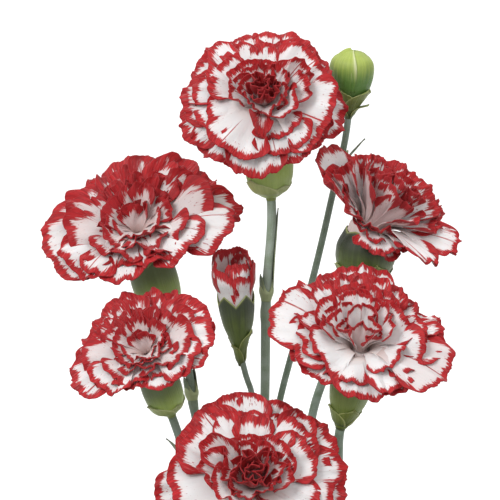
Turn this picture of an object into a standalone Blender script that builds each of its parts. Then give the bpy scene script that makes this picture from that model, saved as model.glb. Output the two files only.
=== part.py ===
"""Cut carnations in a box: six open blooms, a half-open bud and a shut bud, each on its own stem.

The stems are pushed into a block of wet floral foam, which sits in a thin liner inside a plain
wooden box. Metres, +Z up. The origin is the centre of the box's underside, X runs to the right
seen from the front, and Y runs to the back. Sizes below are in millimetres.
"""
import math
from dataclasses import dataclass

import bmesh
import bpy
import numpy as np
from mathutils import Vector

MM = 0.001

# Driving dimensions of the box, in millimetres.
BOX_SIDE = 150.0
BOX_HEIGHT = 110.0
BOARD = 8.0
CORNER_ROUND = 0.8
FIT_GAP = 0.3
LINER_WALL = 0.8
LINER_BELOW_RIM = 3.0
FOAM_TOP = 98.0
FOAM_GAP = 0.6

# Plant dimensions that every stem or bloom shares.
STEM_IN_FOAM = 48.0
STEM_HOLE_GAP = 0.4
STEM_STEP = 15.0
CALYX_WALL = 0.8
CALYX_TEETH = 5
TOOTH_HEIGHT = 3.5
BRACT_TEETH = 4
BRACT_WALL = 0.6
BRACT_GAP = 0.4
BRACT_FOOT = 1.2
PETAL_SHEET = 1.2
CLAW_DEPTH = 10.0
SHEATH_HEIGHT = 9.0
SHEATH_WALL = 1.0
SHEATH_GAP = 0.6
LEAF_HALF_WIDTH = 1.9
LEAF_SHEET = 0.5

# How many points a ring has round each kind of piece.
CALYX_POINTS = CALYX_TEETH * 4
WHORL_POINTS = 20
SHEATH_POINTS = 10


@dataclass
class Stem:
    """A cut stem. It is straight in the foam, then bends through its waypoints up to its calyx."""

    name: str
    calyx: str
    radius: float
    entry: tuple
    waypoints: list


@dataclass
class Calyx:
    """The green cup that holds a flower's petals."""

    name: str
    base: tuple
    lean_right: float
    lean_front: float
    length: float
    radius: float


@dataclass
class Bloom:
    """An open flower: its petals leave the calyx and spread about a hub, facing their own way.

    The rim and the crown are how high the outer petals' edge and the middle of the bloom stand above
    the hub, as shares of the bloom's radius.
    """

    calyx: Calyx
    hub: tuple
    lean_right: float
    lean_front: float
    radius: float
    rim: float
    crown: float
    waves: int


@dataclass
class LeafPair:
    """Two opposite leaves whose shared sheath clasps a stem at a given height."""

    name: str
    stem: str
    height: float
    turn: float
    lengths: tuple
    spread: float


BLOOMS = [
    Bloom(Calyx("1", (8.5, 14, 284.7), -4.5, 9, 23, 10.0), (5.6, 8, 322.0), -2, 48, 32.4, 0.0, 0.35, 9),
    Bloom(Calyx("2", (-34.6, 22, 233.6), -16, 6, 27, 9.8), (-45.2, 18, 268.2), -9, 20, 40, 0.15, 0.36, 10),
    Bloom(Calyx("3", (-31.2, -20, 202.4), -18, 15, 20, 8.0), (-39.8, -27, 227.0), -23, 22, 31.0, 0.15, 0.36, 8),
    Bloom(Calyx("4", (35.7, -26, 198.9), 12, 15, 22, 8.5), (42.6, -34, 230.5), 2, 28, 35, 0.10, 0.60, 9),
    Bloom(Calyx("5", (45.3, 6, 249.3), 4, 7, 17, 12.2), (47.5, 3, 273.5), 30, 8, 28, 0.40, 0.75, 8),
    Bloom(Calyx("6", (-0.6, -40, 147.3), -1, 15, 26, 11.0), (-1.1, -50, 183.4), 3, 48, 38.5, 0.0, 0.35, 10),
]

HALF_OPEN_BUD = Calyx("7", (-4, 4, 224.2), -5, 4, 21, 6.8)
SHUT_BUD = Calyx("8", (40.3, 30, 316.6), 4, 6, 26.5, 9.1)
HEADS = {head.name: head for head in [bloom.calyx for bloom in BLOOMS] + [HALF_OPEN_BUD, SHUT_BUD]}

STEMS = [
    Stem("stem_1", "1", 1.9, (2, 10, 98), [(5.2, 12, 165), (6.1, 13, 203), (6.6, 14, 243)]),
    Stem("stem_2", "2", 1.8, (-9, 12, 98), [(-16, 13, 160), (-23, 14, 197.6), (-26, 16, 215.5)]),
    Stem("stem_3", "3", 1.7, (-14, -11, 98), [(-18, -13, 140), (-25, -15, 180), (-28.6, -17, 194)]),
    Stem("stem_4", "4", 1.9, (28, -12, 98), [(32, -14, 135), (34.9, -20, 180)]),
    Stem("stem_5", "5", 1.8, (14, 9, 98), [(18, 10, 145), (25.4, 10, 195), (29.6, 8, 210)]),
    Stem("stem_6", "6", 2.0, (-2, -29, 98), [(-1.4, -33, 125)]),
    Stem("stem_7", "7", 1.2, (4, -6, 98), [(4, -3, 150), (0.8, 2, 205.5), (-1.7, 3.5, 213.3)]),
    Stem("stem_8", "8", 1.4, (0, 29, 98), [(6, 33, 160), (13.1, 35, 199), (25.1, 38, 243), (33.2, 38, 278)]),
]

LEAF_PAIRS = [
    LeafPair("leaf_pair_1", "stem_1", 243, 0, (31, 8), 0.10),
    LeafPair("leaf_pair_2", "stem_2", 200, 15, (13, 9), 0.12),
    LeafPair("leaf_pair_3", "stem_3", 180, 200, (10, 8), 0.25),
    LeafPair("leaf_pair_4", "stem_8", 294, -10, (10, 6), 0.45),
    LeafPair("leaf_pair_5", "stem_2", 124, 125, (46, 38), 0.80),
    LeafPair("leaf_pair_6", "stem_4", 122, -75, (44, 36), 0.80),
    LeafPair("leaf_pair_7", "stem_3", 119, 210, (42, 12), 0.75),
    LeafPair("leaf_pair_8", "stem_8", 130, 60, (44, 34), 0.80),
]


# ---------------------------------------------------------------- scene and materials

def clear_scene():
    for obj in list(bpy.data.objects):
        bpy.data.objects.remove(obj, do_unlink=True)


def make_material(name, colour, roughness):
    """A plain Principled material. Colours are linear."""
    made = bpy.data.materials.new(name)
    made.use_nodes = True
    shader = made.node_tree.nodes["Principled BSDF"]
    shader.inputs["Base Color"].default_value = (*colour, 1.0)
    shader.inputs["Roughness"].default_value = roughness
    shader.inputs["Metallic"].default_value = 0.0
    return made


def make_materials():
    return {
        "pine": make_material("pine", (0.62, 0.42, 0.24), 0.6),
        "liner": make_material("liner", (0.75, 0.75, 0.73), 0.35),
        "foam": make_material("foam", (0.07, 0.20, 0.08), 0.95),
        "stem": make_material("stem", (0.18, 0.27, 0.19), 0.55),
        "leaf": make_material("leaf", (0.16, 0.24, 0.17), 0.55),
        "calyx": make_material("calyx", (0.22, 0.33, 0.10), 0.5),
        "bract": make_material("bract", (0.33, 0.42, 0.16), 0.5),
        "petal": make_material("petal", (0.78, 0.30, 0.28), 0.6),
    }


# ---------------------------------------------------------------- building blocks

def add_mesh(name, points, faces, finish, smooth=True):
    """A mesh object from points in millimetres, with its faces turned outwards."""
    work = bmesh.new()
    corners = [work.verts.new(Vector(p) * MM) for p in points]
    for face in faces:
        work.faces.new([corners[i] for i in face])
    bmesh.ops.recalc_face_normals(work, faces=work.faces)
    mesh = bpy.data.meshes.new(name)
    work.to_mesh(mesh)
    work.free()
    if smooth:
        mesh.shade_smooth()
        mesh.set_sharp_from_angle(angle=math.radians(40))
    mesh.materials.append(finish)
    obj = bpy.data.objects.new(name, mesh)
    bpy.context.scene.collection.objects.link(obj)
    return obj


def skin(name, rings, finish, joined=False):
    """One closed body skinned over rings of points. Its ends are capped, or joined to each other."""
    count = len(rings[0])
    points = np.concatenate(rings)
    last = len(rings) if joined else len(rings) - 1
    faces = []
    for i in range(last):
        low, high = i * count, (i + 1) % len(rings) * count
        for j in range(count):
            k = (j + 1) % count
            faces.append((low + j, low + k, high + k, high + j))
    if not joined:
        faces.append(tuple(range(count)))
        faces.append(tuple(range((len(rings) - 1) * count, len(rings) * count)))
    return add_mesh(name, points, faces, finish)


def add_block(name, size, centre, finish, round_edge=0.0):
    """A rectangular block with its long edges eased by a Bevel."""
    work = bmesh.new()
    bmesh.ops.create_cube(work, size=1.0)
    bmesh.ops.scale(work, vec=Vector(size) * MM, verts=work.verts)
    mesh = bpy.data.meshes.new(name)
    work.to_mesh(mesh)
    work.free()
    mesh.materials.append(finish)
    obj = bpy.data.objects.new(name, mesh)
    obj.location = Vector(centre) * MM
    bpy.context.scene.collection.objects.link(obj)
    if round_edge:
        bevel = obj.modifiers.new("eased_edges", "BEVEL")
        bevel.width = round_edge * MM
        bevel.segments = 1
    return obj


def cut_with(obj, cutter):
    """Cuts one object with another, which stays out of the render."""
    cutter.hide_render = True
    cutter.display_type = "WIRE"
    cut = obj.modifiers.new(f"cut_{cutter.name}", "BOOLEAN")
    cut.operation = "DIFFERENCE"
    cut.solver = "EXACT"
    cut.object = cutter


def leaning(lean_right, lean_front):
    """The unit vector that leans this many degrees from upright to the right and to the front."""
    across = math.tan(math.radians(lean_right))
    forward = math.tan(math.radians(lean_front))
    axis = np.array([across, -forward, 1.0])
    return axis / np.linalg.norm(axis)


def frame_about(axis):
    """Two unit vectors square to an axis. The first lies as near to +X as it can."""
    side = np.array([1.0, 0.0, 0.0]) - axis[0] * axis
    side /= np.linalg.norm(side)
    return side, np.cross(axis, side)


def ring_about(centre, axis, radius, height, count):
    """Points round an axis. Radius and height may be one number or one for each point."""
    turn = np.arange(count) * 2 * math.pi / count
    side, across = frame_about(axis)
    around = np.outer(np.cos(turn), side) + np.outer(np.sin(turn), across)
    radius = np.broadcast_to(radius, count)[:, None]
    height = np.broadcast_to(height, count)[:, None]
    return np.asarray(centre, float) + around * radius + axis * height


def teeth_round(teeth, count):
    """A triangle wave round a ring, 1 at each tooth's tip and 0 between two teeth."""
    place = np.arange(count) * teeth / count
    return 1 - 2 * np.abs(place - np.floor(place) - 0.5)


# ---------------------------------------------------------------- the box

def build_box(finishes):
    """Four butt-jointed boards, the base board between them, and the liner that holds the foam."""
    half = BOX_SIDE / 2
    pine = finishes["pine"]
    middle = half - BOARD / 2
    between = BOX_SIDE - 2 * BOARD - 2 * FIT_GAP
    level = BOX_HEIGHT / 2
    for name, side in (("box_front_board", -1), ("box_back_board", 1)):
        add_block(name, (BOX_SIDE, BOARD, BOX_HEIGHT), (0, side * middle, level), pine, CORNER_ROUND)
    for name, side in (("box_left_board", -1), ("box_right_board", 1)):
        add_block(name, (BOARD, between, BOX_HEIGHT), (side * middle, 0, level), pine, CORNER_ROUND)
    add_block("box_base_board", (between, between, BOARD), (0, 0, BOARD / 2), pine)

    outer = between - 2 * FIT_GAP
    low = BOARD + FIT_GAP
    high = BOX_HEIGHT - LINER_BELOW_RIM
    liner = add_block("box_liner", (outer, outer, high - low), (0, 0, (low + high) / 2), finishes["liner"])
    inner = outer - 2 * LINER_WALL
    floor = low + LINER_WALL
    hollow = add_block("liner_hollow", (inner, inner, 2 * (high - floor)), (0, 0, high), finishes["liner"])
    cut_with(liner, hollow)
    return inner - 2 * FOAM_GAP, floor + FIT_GAP


def build_foam(side, bottom, finishes):
    """The foam block, with a hole for each stem along the line that the stem was pushed in."""
    foam = add_block("foam_block", (side, side, FOAM_TOP - bottom), (0, 0, (FOAM_TOP + bottom) / 2),
                     finishes["foam"])
    for stem in STEMS:
        top, tip = straight_part(stem)
        along = (top - tip) / np.linalg.norm(top - tip)
        length = STEM_IN_FOAM + 6.0
        work = bmesh.new()
        bmesh.ops.create_cone(work, cap_ends=True, segments=12, depth=length * MM,
                              radius1=(stem.radius + STEM_HOLE_GAP) * MM,
                              radius2=(stem.radius + STEM_HOLE_GAP) * MM)
        mesh = bpy.data.meshes.new(f"{stem.name}_hole")
        work.to_mesh(mesh)
        work.free()
        hole = bpy.data.objects.new(f"{stem.name}_hole", mesh)
        hole.location = Vector(tip - along * 1.0 + along * length / 2) * MM
        hole.rotation_mode = "QUATERNION"
        hole.rotation_quaternion = Vector(along).to_track_quat("Z", "Y")
        bpy.context.scene.collection.objects.link(hole)
        cut_with(foam, hole)


# ---------------------------------------------------------------- stems and leaves

def straight_part(stem):
    """Where the stem meets the foam's top, and its cut end in the foam."""
    entry = np.array(stem.entry, float)
    along = np.array(stem.waypoints[0], float) - entry
    along /= np.linalg.norm(along)
    return entry + along * 2.0, entry - along * STEM_IN_FOAM


def stem_line(stem, step):
    """Points along a stem: straight in the foam, then a smooth curve through its waypoints.

    Each span is a cubic Hermite curve whose tangents come from the neighbouring waypoints. The last
    one ends just under the calyx, along the calyx's own axis.
    """
    top, tip = straight_part(stem)
    head = HEADS[stem.calyx]
    head_axis = leaning(head.lean_right, head.lean_front)
    end = np.array(head.base) - head_axis * FIT_GAP * 2.5
    knots = [top] + [np.array(p, float) for p in stem.waypoints] + [end]
    along = (top - tip) / np.linalg.norm(top - tip)
    spans = [np.linalg.norm(b - a) for a, b in zip(knots, knots[1:])]
    slopes = [along]
    for i in range(1, len(knots) - 1):
        slopes.append((knots[i + 1] - knots[i - 1]) / (spans[i] + spans[i - 1]))
    slopes.append(head_axis)
    line = [tip, top]
    for i, span in enumerate(spans):
        parts = max(2, round(span / step))
        for t in np.arange(1, parts + 1) / parts:
            start_share = 2 * t**3 - 3 * t**2 + 1
            start_pull = (t**3 - 2 * t**2 + t) * span
            end_share = 3 * t**2 - 2 * t**3
            end_pull = (t**3 - t**2) * span
            line.append(knots[i] * start_share + slopes[i] * start_pull
                        + knots[i + 1] * end_share + slopes[i + 1] * end_pull)
    return np.array(line)


def build_stem(stem, finishes):
    """A round tube along the stem's line, with its ends capped."""
    line = stem_line(stem, STEM_STEP)
    data = bpy.data.curves.new(stem.name, "CURVE")
    data.dimensions = "3D"
    data.bevel_depth = stem.radius * MM
    data.bevel_resolution = 2
    data.use_fill_caps = True
    spline = data.splines.new("POLY")
    spline.points.add(len(line) - 1)
    for point, place in zip(spline.points, line):
        point.co = (*(place * MM), 1.0)
    data.materials.append(finishes["stem"])
    obj = bpy.data.objects.new(stem.name, data)
    bpy.context.scene.collection.objects.link(obj)


def at_height(stem, height):
    """The stem's centre and direction where it passes this height."""
    line = stem_line(stem, 2.0)
    i = int(np.searchsorted(line[:, 2], height))
    low, high = line[i - 1], line[i]
    share = (height - low[2]) / (high[2] - low[2])
    along = (high - low) / np.linalg.norm(high - low)
    return low + share * (high - low), along


def leaf_rings(centre, axis, outward, length, spread, sheath_radius):
    """Rings along one leaf. It leaves the sheath upright, arches outwards and tapers to a point.

    The midrib is an arc that starts along the stem and turns by the spread, in radians times pi / 2,
    and each ring is a shallow channel whose sides stand towards the stem.
    """
    across = np.cross(axis, outward)
    rings = []
    steps = 5
    place = centre + axis * (SHEATH_HEIGHT * 0.45) + outward * sheath_radius
    turned = 0.0
    for i in range(steps + 1):
        share = i / steps
        if i:
            place = place + (axis * math.cos(turned) + outward * math.sin(turned)) * length / steps
        turned = spread * math.pi / 2 * (0.25 + 1.35 * share)
        facing = outward * math.cos(turned) - axis * math.sin(turned)
        width = LEAF_HALF_WIDTH * (0.85 + 0.5 * share) * (1 - share**2.5) + 0.25
        dish = 0.30 * width
        half_sheet = LEAF_SHEET / 2 * (1 - 0.4 * share)
        ring = []
        for side, face in ((-1, 1), (0, 1), (1, 1), (1, -1), (0, -1), (-1, -1)):
            inward = dish * side * side
            ring.append(place + across * width * side + facing * (half_sheet * face - inward))
        rings.append(np.array(ring))
    return rings


def build_leaf_pair(pair, stems, finishes):
    """A sheath round the stem with a leaf on each side, joined into one body."""
    stem = stems[pair.stem]
    centre, axis = at_height(stem, pair.height)
    inside = stem.radius + SHEATH_GAP
    outside = inside + SHEATH_WALL
    rings = [
        ring_about(centre, axis, inside, 0.0, SHEATH_POINTS),
        ring_about(centre, axis, inside + 0.35, 0.0, SHEATH_POINTS),
        ring_about(centre, axis, outside, SHEATH_HEIGHT * 0.35, SHEATH_POINTS),
        ring_about(centre, axis, outside, SHEATH_HEIGHT, SHEATH_POINTS),
        ring_about(centre, axis, inside, SHEATH_HEIGHT, SHEATH_POINTS),
    ]
    sheath = skin(pair.name, rings, finishes["leaf"], joined=True)
    side, across = frame_about(axis)
    for i, length in enumerate(pair.lengths):
        turn = math.radians(pair.turn) + i * math.pi
        outward = side * math.cos(turn) + across * math.sin(turn)
        blade_rings = leaf_rings(centre, axis, outward, length, pair.spread, outside + 0.05)
        blade = skin(f"{pair.name}_blade_{i}", blade_rings, finishes["leaf"])
        blade.hide_render = True
        blade.display_type = "WIRE"
        join = sheath.modifiers.new(f"blade_{i}", "BOOLEAN")
        join.operation = "UNION"
        join.solver = "EXACT"
        join.object = blade


# ---------------------------------------------------------------- calyxes and bracts

# Share of the calyx's length, and share of its widest radius, from its base up to its mouth.
CALYX_PROFILE = [(0.0, 0.26), (0.07, 0.60), (0.28, 0.88), (0.60, 1.0), (1.0, 0.96)]
BUD_PROFILE = [(0.0, 0.24), (0.07, 0.42), (0.28, 0.70), (0.48, 0.90), (0.66, 1.0), (0.82, 0.90), (0.94, 0.60), (1.0, 0.2)]

# Where the bracts sit and part, as shares of the calyx's length, and how far their points rise above that.
BRACT_SEAT = 0.07
BRACT_TOP = 0.28
BRACT_POINT = 0.16


def build_calyx(calyx, finishes):
    """An open cup with five pointed teeth round its mouth."""
    axis = leaning(calyx.lean_right, calyx.lean_front)
    tooth = teeth_round(CALYX_TEETH, CALYX_POINTS) * TOOTH_HEIGHT
    rings = []
    for share, wide in CALYX_PROFILE:
        lift = tooth if share == 1.0 else 0.0
        rings.append(ring_about(calyx.base, axis, wide * calyx.radius, share * calyx.length + lift, CALYX_POINTS))
    for share, wide in reversed(CALYX_PROFILE[1:]):
        lift = tooth if share == 1.0 else 0.0
        inner = wide * calyx.radius - CALYX_WALL
        rings.append(ring_about(calyx.base, axis, inner, share * calyx.length + lift, CALYX_POINTS))
    skin(f"calyx_{calyx.name}", rings, finishes["calyx"])


def build_shut_bud(bud, finishes):
    """A calyx that is still shut, its five teeth meeting at the tip."""
    axis = leaning(bud.lean_right, bud.lean_front)
    rings = [ring_about(bud.base, axis, wide * bud.radius, share * bud.length, CALYX_POINTS)
             for share, wide in BUD_PROFILE]
    skin(f"calyx_{bud.name}", rings, finishes["calyx"])


def build_bracts(calyx, profile, stem_radius, finishes):
    """The small scale leaves that clasp the foot of the calyx, as one collar with four points.

    The collar follows the calyx's own profile, a small gap outside it, and its foot grips the stem.
    """
    axis = leaning(calyx.lean_right, calyx.lean_front)
    point = teeth_round(BRACT_TEETH, CALYX_POINTS)

    def collar(share, outward):
        share = np.broadcast_to(share, CALYX_POINTS)
        on_calyx = np.interp(share, [p[0] for p in profile], [p[1] for p in profile]) * calyx.radius
        return ring_about(calyx.base, axis, on_calyx + outward, share * calyx.length, CALYX_POINTS)

    inner_foot = stem_radius + 1.5 * BRACT_GAP
    tips = BRACT_TOP + 0.02 + BRACT_POINT * point
    outward = BRACT_GAP + BRACT_WALL
    rings = [
        ring_about(calyx.base, axis, inner_foot, -BRACT_FOOT, CALYX_POINTS),
        collar(BRACT_SEAT, BRACT_GAP),
        collar(BRACT_TOP, BRACT_GAP),
        collar(tips, BRACT_GAP),
        collar(tips, outward),
        collar(BRACT_TOP, outward),
        collar(BRACT_SEAT, outward),
        ring_about(calyx.base, axis, inner_foot + BRACT_WALL, -BRACT_FOOT, CALYX_POINTS),
    ]
    skin(f"bracts_{calyx.name}", rings, finishes["bract"], joined=True)


# ---------------------------------------------------------------- petals

# Outer and inner radius of each whorl's tube of claws, as a share of the calyx's radius.
GUARD_TUBE = (0.66, 0.55)
MIDDLE_TUBE = (0.50, 0.40)
HEART_TUBE = 0.33
RUFFLE = 0.06
LOBE = 0.03


def guard_limb(bloom):
    """Radius, height and share of the full ruffle along the outer petals, the first two in bloom radii."""
    return [
        (0.40, 0.25 * bloom.rim, 0.0),
        (0.70, 0.62 * bloom.rim + 0.02, 0.4),
        (0.92, 0.90 * bloom.rim, 0.8),
        (1.0, bloom.rim - 0.08, 1.0),
    ]


def middle_limb(bloom):
    """The same for the petals between the outer ones and the heart."""
    edge = 0.13 + (bloom.rim + bloom.crown) / 2
    return [
        (0.28, 0.12, 0.0),
        (0.52, 0.07 + 0.42 * edge, 0.3),
        (0.76, 0.03 + 0.84 * edge, 0.8),
        (0.86, edge, 1.0),
    ]


def heart_limb(bloom):
    """The same for the tuft in the middle, over its edge and in to the centre of its top."""
    return [
        (0.16, 0.22, 0.0),
        (0.34, 0.10 + 0.55 * bloom.crown, 0.4),
        (0.48, bloom.crown, 1.0),
        (0.34, bloom.crown, 0.8),
        (0.16, bloom.crown - 0.04, 0.3),
        (0.05, bloom.crown - 0.06, 0.0),
    ]


def limb_ring(bloom, axis, point, lift, phase):
    """One ring of a whorl's limb, ruffled up and down and lobed in and out as it nears the edge."""
    wide, high, frill = point
    turn = np.arange(WHORL_POINTS) * 2 * math.pi / WHORL_POINTS
    wave = np.sin(bloom.waves * turn + phase)
    lobe = np.cos((bloom.waves - 3) * turn + 2 * phase)
    radius = bloom.radius * wide * (1 + LOBE * frill * lobe)
    height = bloom.radius * (high + RUFFLE * frill * wave) + lift
    return ring_about(bloom.hub, axis, radius, height, WHORL_POINTS)


def claw_rings(bloom, share):
    """The tube of claws, from inside the calyx up through its mouth to the hub."""
    calyx = bloom.calyx
    calyx_axis = leaning(calyx.lean_right, calyx.lean_front)
    head_axis = leaning(bloom.lean_right, bloom.lean_front)
    mouth = np.array(calyx.base) + calyx_axis * calyx.length
    radius = share * calyx.radius
    return [
        ring_about(mouth - calyx_axis * CLAW_DEPTH, calyx_axis, radius, 0.0, WHORL_POINTS),
        ring_about(mouth, calyx_axis, radius, 0.0, WHORL_POINTS),
        ring_about(bloom.hub, head_axis, radius, 0.0, WHORL_POINTS),
    ]


def build_sheet_whorl(name, bloom, limb, tube, phase, finishes):
    """A ring of petals as one ruffled sheet that narrows into a tube of claws."""
    axis = leaning(bloom.lean_right, bloom.lean_front)
    under = [limb_ring(bloom, axis, p, 0.0, phase) for p in limb]
    over = [limb_ring(bloom, axis, p, PETAL_SHEET, phase) for p in limb]
    rings = claw_rings(bloom, tube[0]) + under + over[::-1] + claw_rings(bloom, tube[1])[::-1]
    skin(name, rings, finishes["petal"], joined=True)


def build_heart(name, bloom, phase, finishes):
    """The crumpled petals in the middle, as one ruffled tuft on a solid bundle of claws."""
    axis = leaning(bloom.lean_right, bloom.lean_front)
    limb = [limb_ring(bloom, axis, p, 0.0, phase) for p in heart_limb(bloom)]
    skin(name, claw_rings(bloom, HEART_TUBE) + limb, finishes["petal"])


def build_bloom(bloom, finishes):
    number = bloom.calyx.name
    build_sheet_whorl(f"guard_petals_{number}", bloom, guard_limb(bloom), GUARD_TUBE, 0.0, finishes)
    build_sheet_whorl(f"middle_petals_{number}", bloom, middle_limb(bloom), MIDDLE_TUBE, 1.1, finishes)
    build_heart(f"heart_petals_{number}", bloom, 2.3, finishes)


def build_bud_petals(bud, finishes):
    """The rolled petals that stand out of the half-open bud."""
    axis = leaning(bud.lean_right, bud.lean_front)
    shape = [(-CLAW_DEPTH, 0.66), (4.0, 0.74), (9.0, 1.0), (15.0, 1.05), (19.5, 0.85), (21.0, 0.4)]
    mouth = np.array(bud.base) + axis * bud.length
    rings = [ring_about(mouth, axis, wide * bud.radius, high, WHORL_POINTS // 2) for high, wide in shape]
    skin(f"furled_petals_{bud.name}", rings, finishes["petal"])


# ---------------------------------------------------------------- the whole object

def main():
    clear_scene()
    finishes = make_materials()
    foam_side, foam_bottom = build_box(finishes)
    build_foam(foam_side, foam_bottom, finishes)
    stems = {stem.name: stem for stem in STEMS}
    for stem in STEMS:
        build_stem(stem, finishes)
    for pair in LEAF_PAIRS:
        build_leaf_pair(pair, stems, finishes)
    for bloom in BLOOMS:
        build_calyx(bloom.calyx, finishes)
        build_bracts(bloom.calyx, CALYX_PROFILE, stems[f"stem_{bloom.calyx.name}"].radius, finishes)
        build_bloom(bloom, finishes)
    build_calyx(HALF_OPEN_BUD, finishes)
    build_bracts(HALF_OPEN_BUD, CALYX_PROFILE, stems["stem_7"].radius, finishes)
    build_bud_petals(HALF_OPEN_BUD, finishes)
    build_shut_bud(SHUT_BUD, finishes)
    build_bracts(SHUT_BUD, BUD_PROFILE, stems["stem_8"].radius, finishes)


main()
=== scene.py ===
"""Red-edged white carnations, a half-open bud and a shut bud, standing in a plain wooden box.

Every new piece is a surface worked out with numpy and closed into a thin shell or a tube. Lengths in
this file are millimetres until a mesh is made. A bloom's own frame has its origin at the hub, where the
petals leave their claws: x runs to the right, y to the back and up, and z along the way the bloom faces.
"""

import logging
import math
from dataclasses import dataclass, field, replace
from enum import Enum

import bpy
import numpy as np
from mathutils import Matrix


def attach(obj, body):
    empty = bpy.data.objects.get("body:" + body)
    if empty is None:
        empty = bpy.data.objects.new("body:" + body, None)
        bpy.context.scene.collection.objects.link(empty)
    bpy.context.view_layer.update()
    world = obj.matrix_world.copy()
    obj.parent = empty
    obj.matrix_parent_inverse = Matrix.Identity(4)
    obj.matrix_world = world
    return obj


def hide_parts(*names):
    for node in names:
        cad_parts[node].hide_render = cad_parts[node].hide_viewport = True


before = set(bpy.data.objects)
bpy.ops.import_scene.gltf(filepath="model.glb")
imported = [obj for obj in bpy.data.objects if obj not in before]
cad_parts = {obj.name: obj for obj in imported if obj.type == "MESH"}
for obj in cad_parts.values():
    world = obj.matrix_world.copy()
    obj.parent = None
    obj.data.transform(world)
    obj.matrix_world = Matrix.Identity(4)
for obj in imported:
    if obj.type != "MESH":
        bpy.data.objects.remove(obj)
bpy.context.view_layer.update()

LOG = logging.getLogger("carnations")
# A millimetre in metres, and a centimetre in millimetres.
MM = 0.001
CM = 10.0
FULL_TURN = 2.0 * math.pi
WHITE = (1.0, 1.0, 1.0, 1.0)
Array = np.ndarray
Point = tuple[float, float, float]
Colour = tuple[float, float, float]
Profile = tuple[tuple[float, float], ...]
Material = bpy.types.Material
Node = bpy.types.Node
Socket = bpy.types.NodeSocket
Tree = bpy.types.NodeTree


class Slot(Enum):
    """The record's material slots that new pieces stand for."""

    STEM = "stem"
    LEAF = "leaf"
    CALYX = "calyx"
    BRACT = "bract"
    PETAL = "petal"


# ------------------------------------------------------------------ numbers and directions


def smoothstep(low: float, high: float, x: Array) -> Array:
    """An even ramp from 0 at low to 1 at high: 3 t squared less 2 t cubed, t being the share of the way.

    Args:
        low: Where the ramp starts.
        high: Where it ends.
        x: The values to ramp.

    Returns:
        The ramp's height at each value.
    """
    t = np.clip((x - low) / (high - low), 0.0, 1.0)
    return t * t * (3.0 - 2.0 * t)


def down(count: int) -> Array:
    """A column of shares from 0 to 1, for the rows of a grid."""
    return np.linspace(0.0, 1.0, count)[:, None]


def over(count: int) -> Array:
    """A row of shares from -1 to 1, for the columns of a grid."""
    return np.linspace(-1.0, 1.0, count)[None, :]


def round_about(count: int) -> Array:
    """A row of angles evenly round a circle."""
    return np.linspace(0.0, FULL_TURN, count, endpoint=False)[None, :]


def stacked(*values: float | Array) -> Array:
    """The values side by side along a new last axis, each spread over the whole grid."""
    return np.stack(np.broadcast_arrays(*values), axis=-1)


def zigzag(x: Array) -> Array:
    """A wave of straight ramps, from 1 down to 0 and back each time x goes up by 1."""
    return np.abs(x % 1.0 - 0.5) * 2.0


def spokes(turn: Array, side: Array, across: Array) -> Array:
    """Unit vectors at these angles, where side lies at 0 and across a quarter of the way round."""
    return np.cos(turn)[..., None] * side + np.sin(turn)[..., None] * across


def leaning(right: float, front: float) -> Array:
    """The unit vector that leans from upright by these degrees to the right and to the front."""
    axis = np.array([math.tan(math.radians(right)), -math.tan(math.radians(front)), 1.0])
    return axis / np.linalg.norm(axis)


def square_to(axis: Array) -> tuple[Array, Array]:
    """Two unit vectors square to an axis and to each other, the first as near to +X as can be."""
    side = np.array([1.0, 0.0, 0.0]) - axis[0] * axis
    side /= np.linalg.norm(side)
    return side, np.cross(axis, side)


@dataclass(frozen=True)
class Frame:
    """A place and a direction, with two more directions square to it."""

    origin: Point
    lean_right: float
    lean_front: float

    @property
    def axis(self) -> Array:
        """The direction it faces."""
        return leaning(self.lean_right, self.lean_front)

    def place(self, x: Array, y: Array, z: Array) -> Array:
        """Points given in this frame, as points in the model's frame.

        Args:
            x: Distances to the right.
            y: Distances to the back.
            z: Distances along the axis.

        Returns:
            The points, with one more dimension than the distances.
        """
        axis = self.axis
        side, across = square_to(axis)
        x, y, z = np.broadcast_arrays(x, y, z)
        return np.asarray(self.origin) + x[..., None] * side + y[..., None] * across + z[..., None] * axis

    def turned(self, radius: Array, turn: Array, level: Array) -> Array:
        """Points given by their distance from the axis, their angle round it and their level."""
        return self.place(radius * np.cos(turn), radius * np.sin(turn), level)


def grid_normals(points: Array) -> Array:
    """Unit normals of a grid: the cross product of its steps along a row and along a column."""
    along_row = np.gradient(points, axis=1)
    along_column = np.gradient(points, axis=0)
    normals = np.cross(along_row, along_column)
    return normals / np.maximum(np.linalg.norm(normals, axis=-1, keepdims=True), 1e-9)


# ------------------------------------------------------------------ skins


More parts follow.
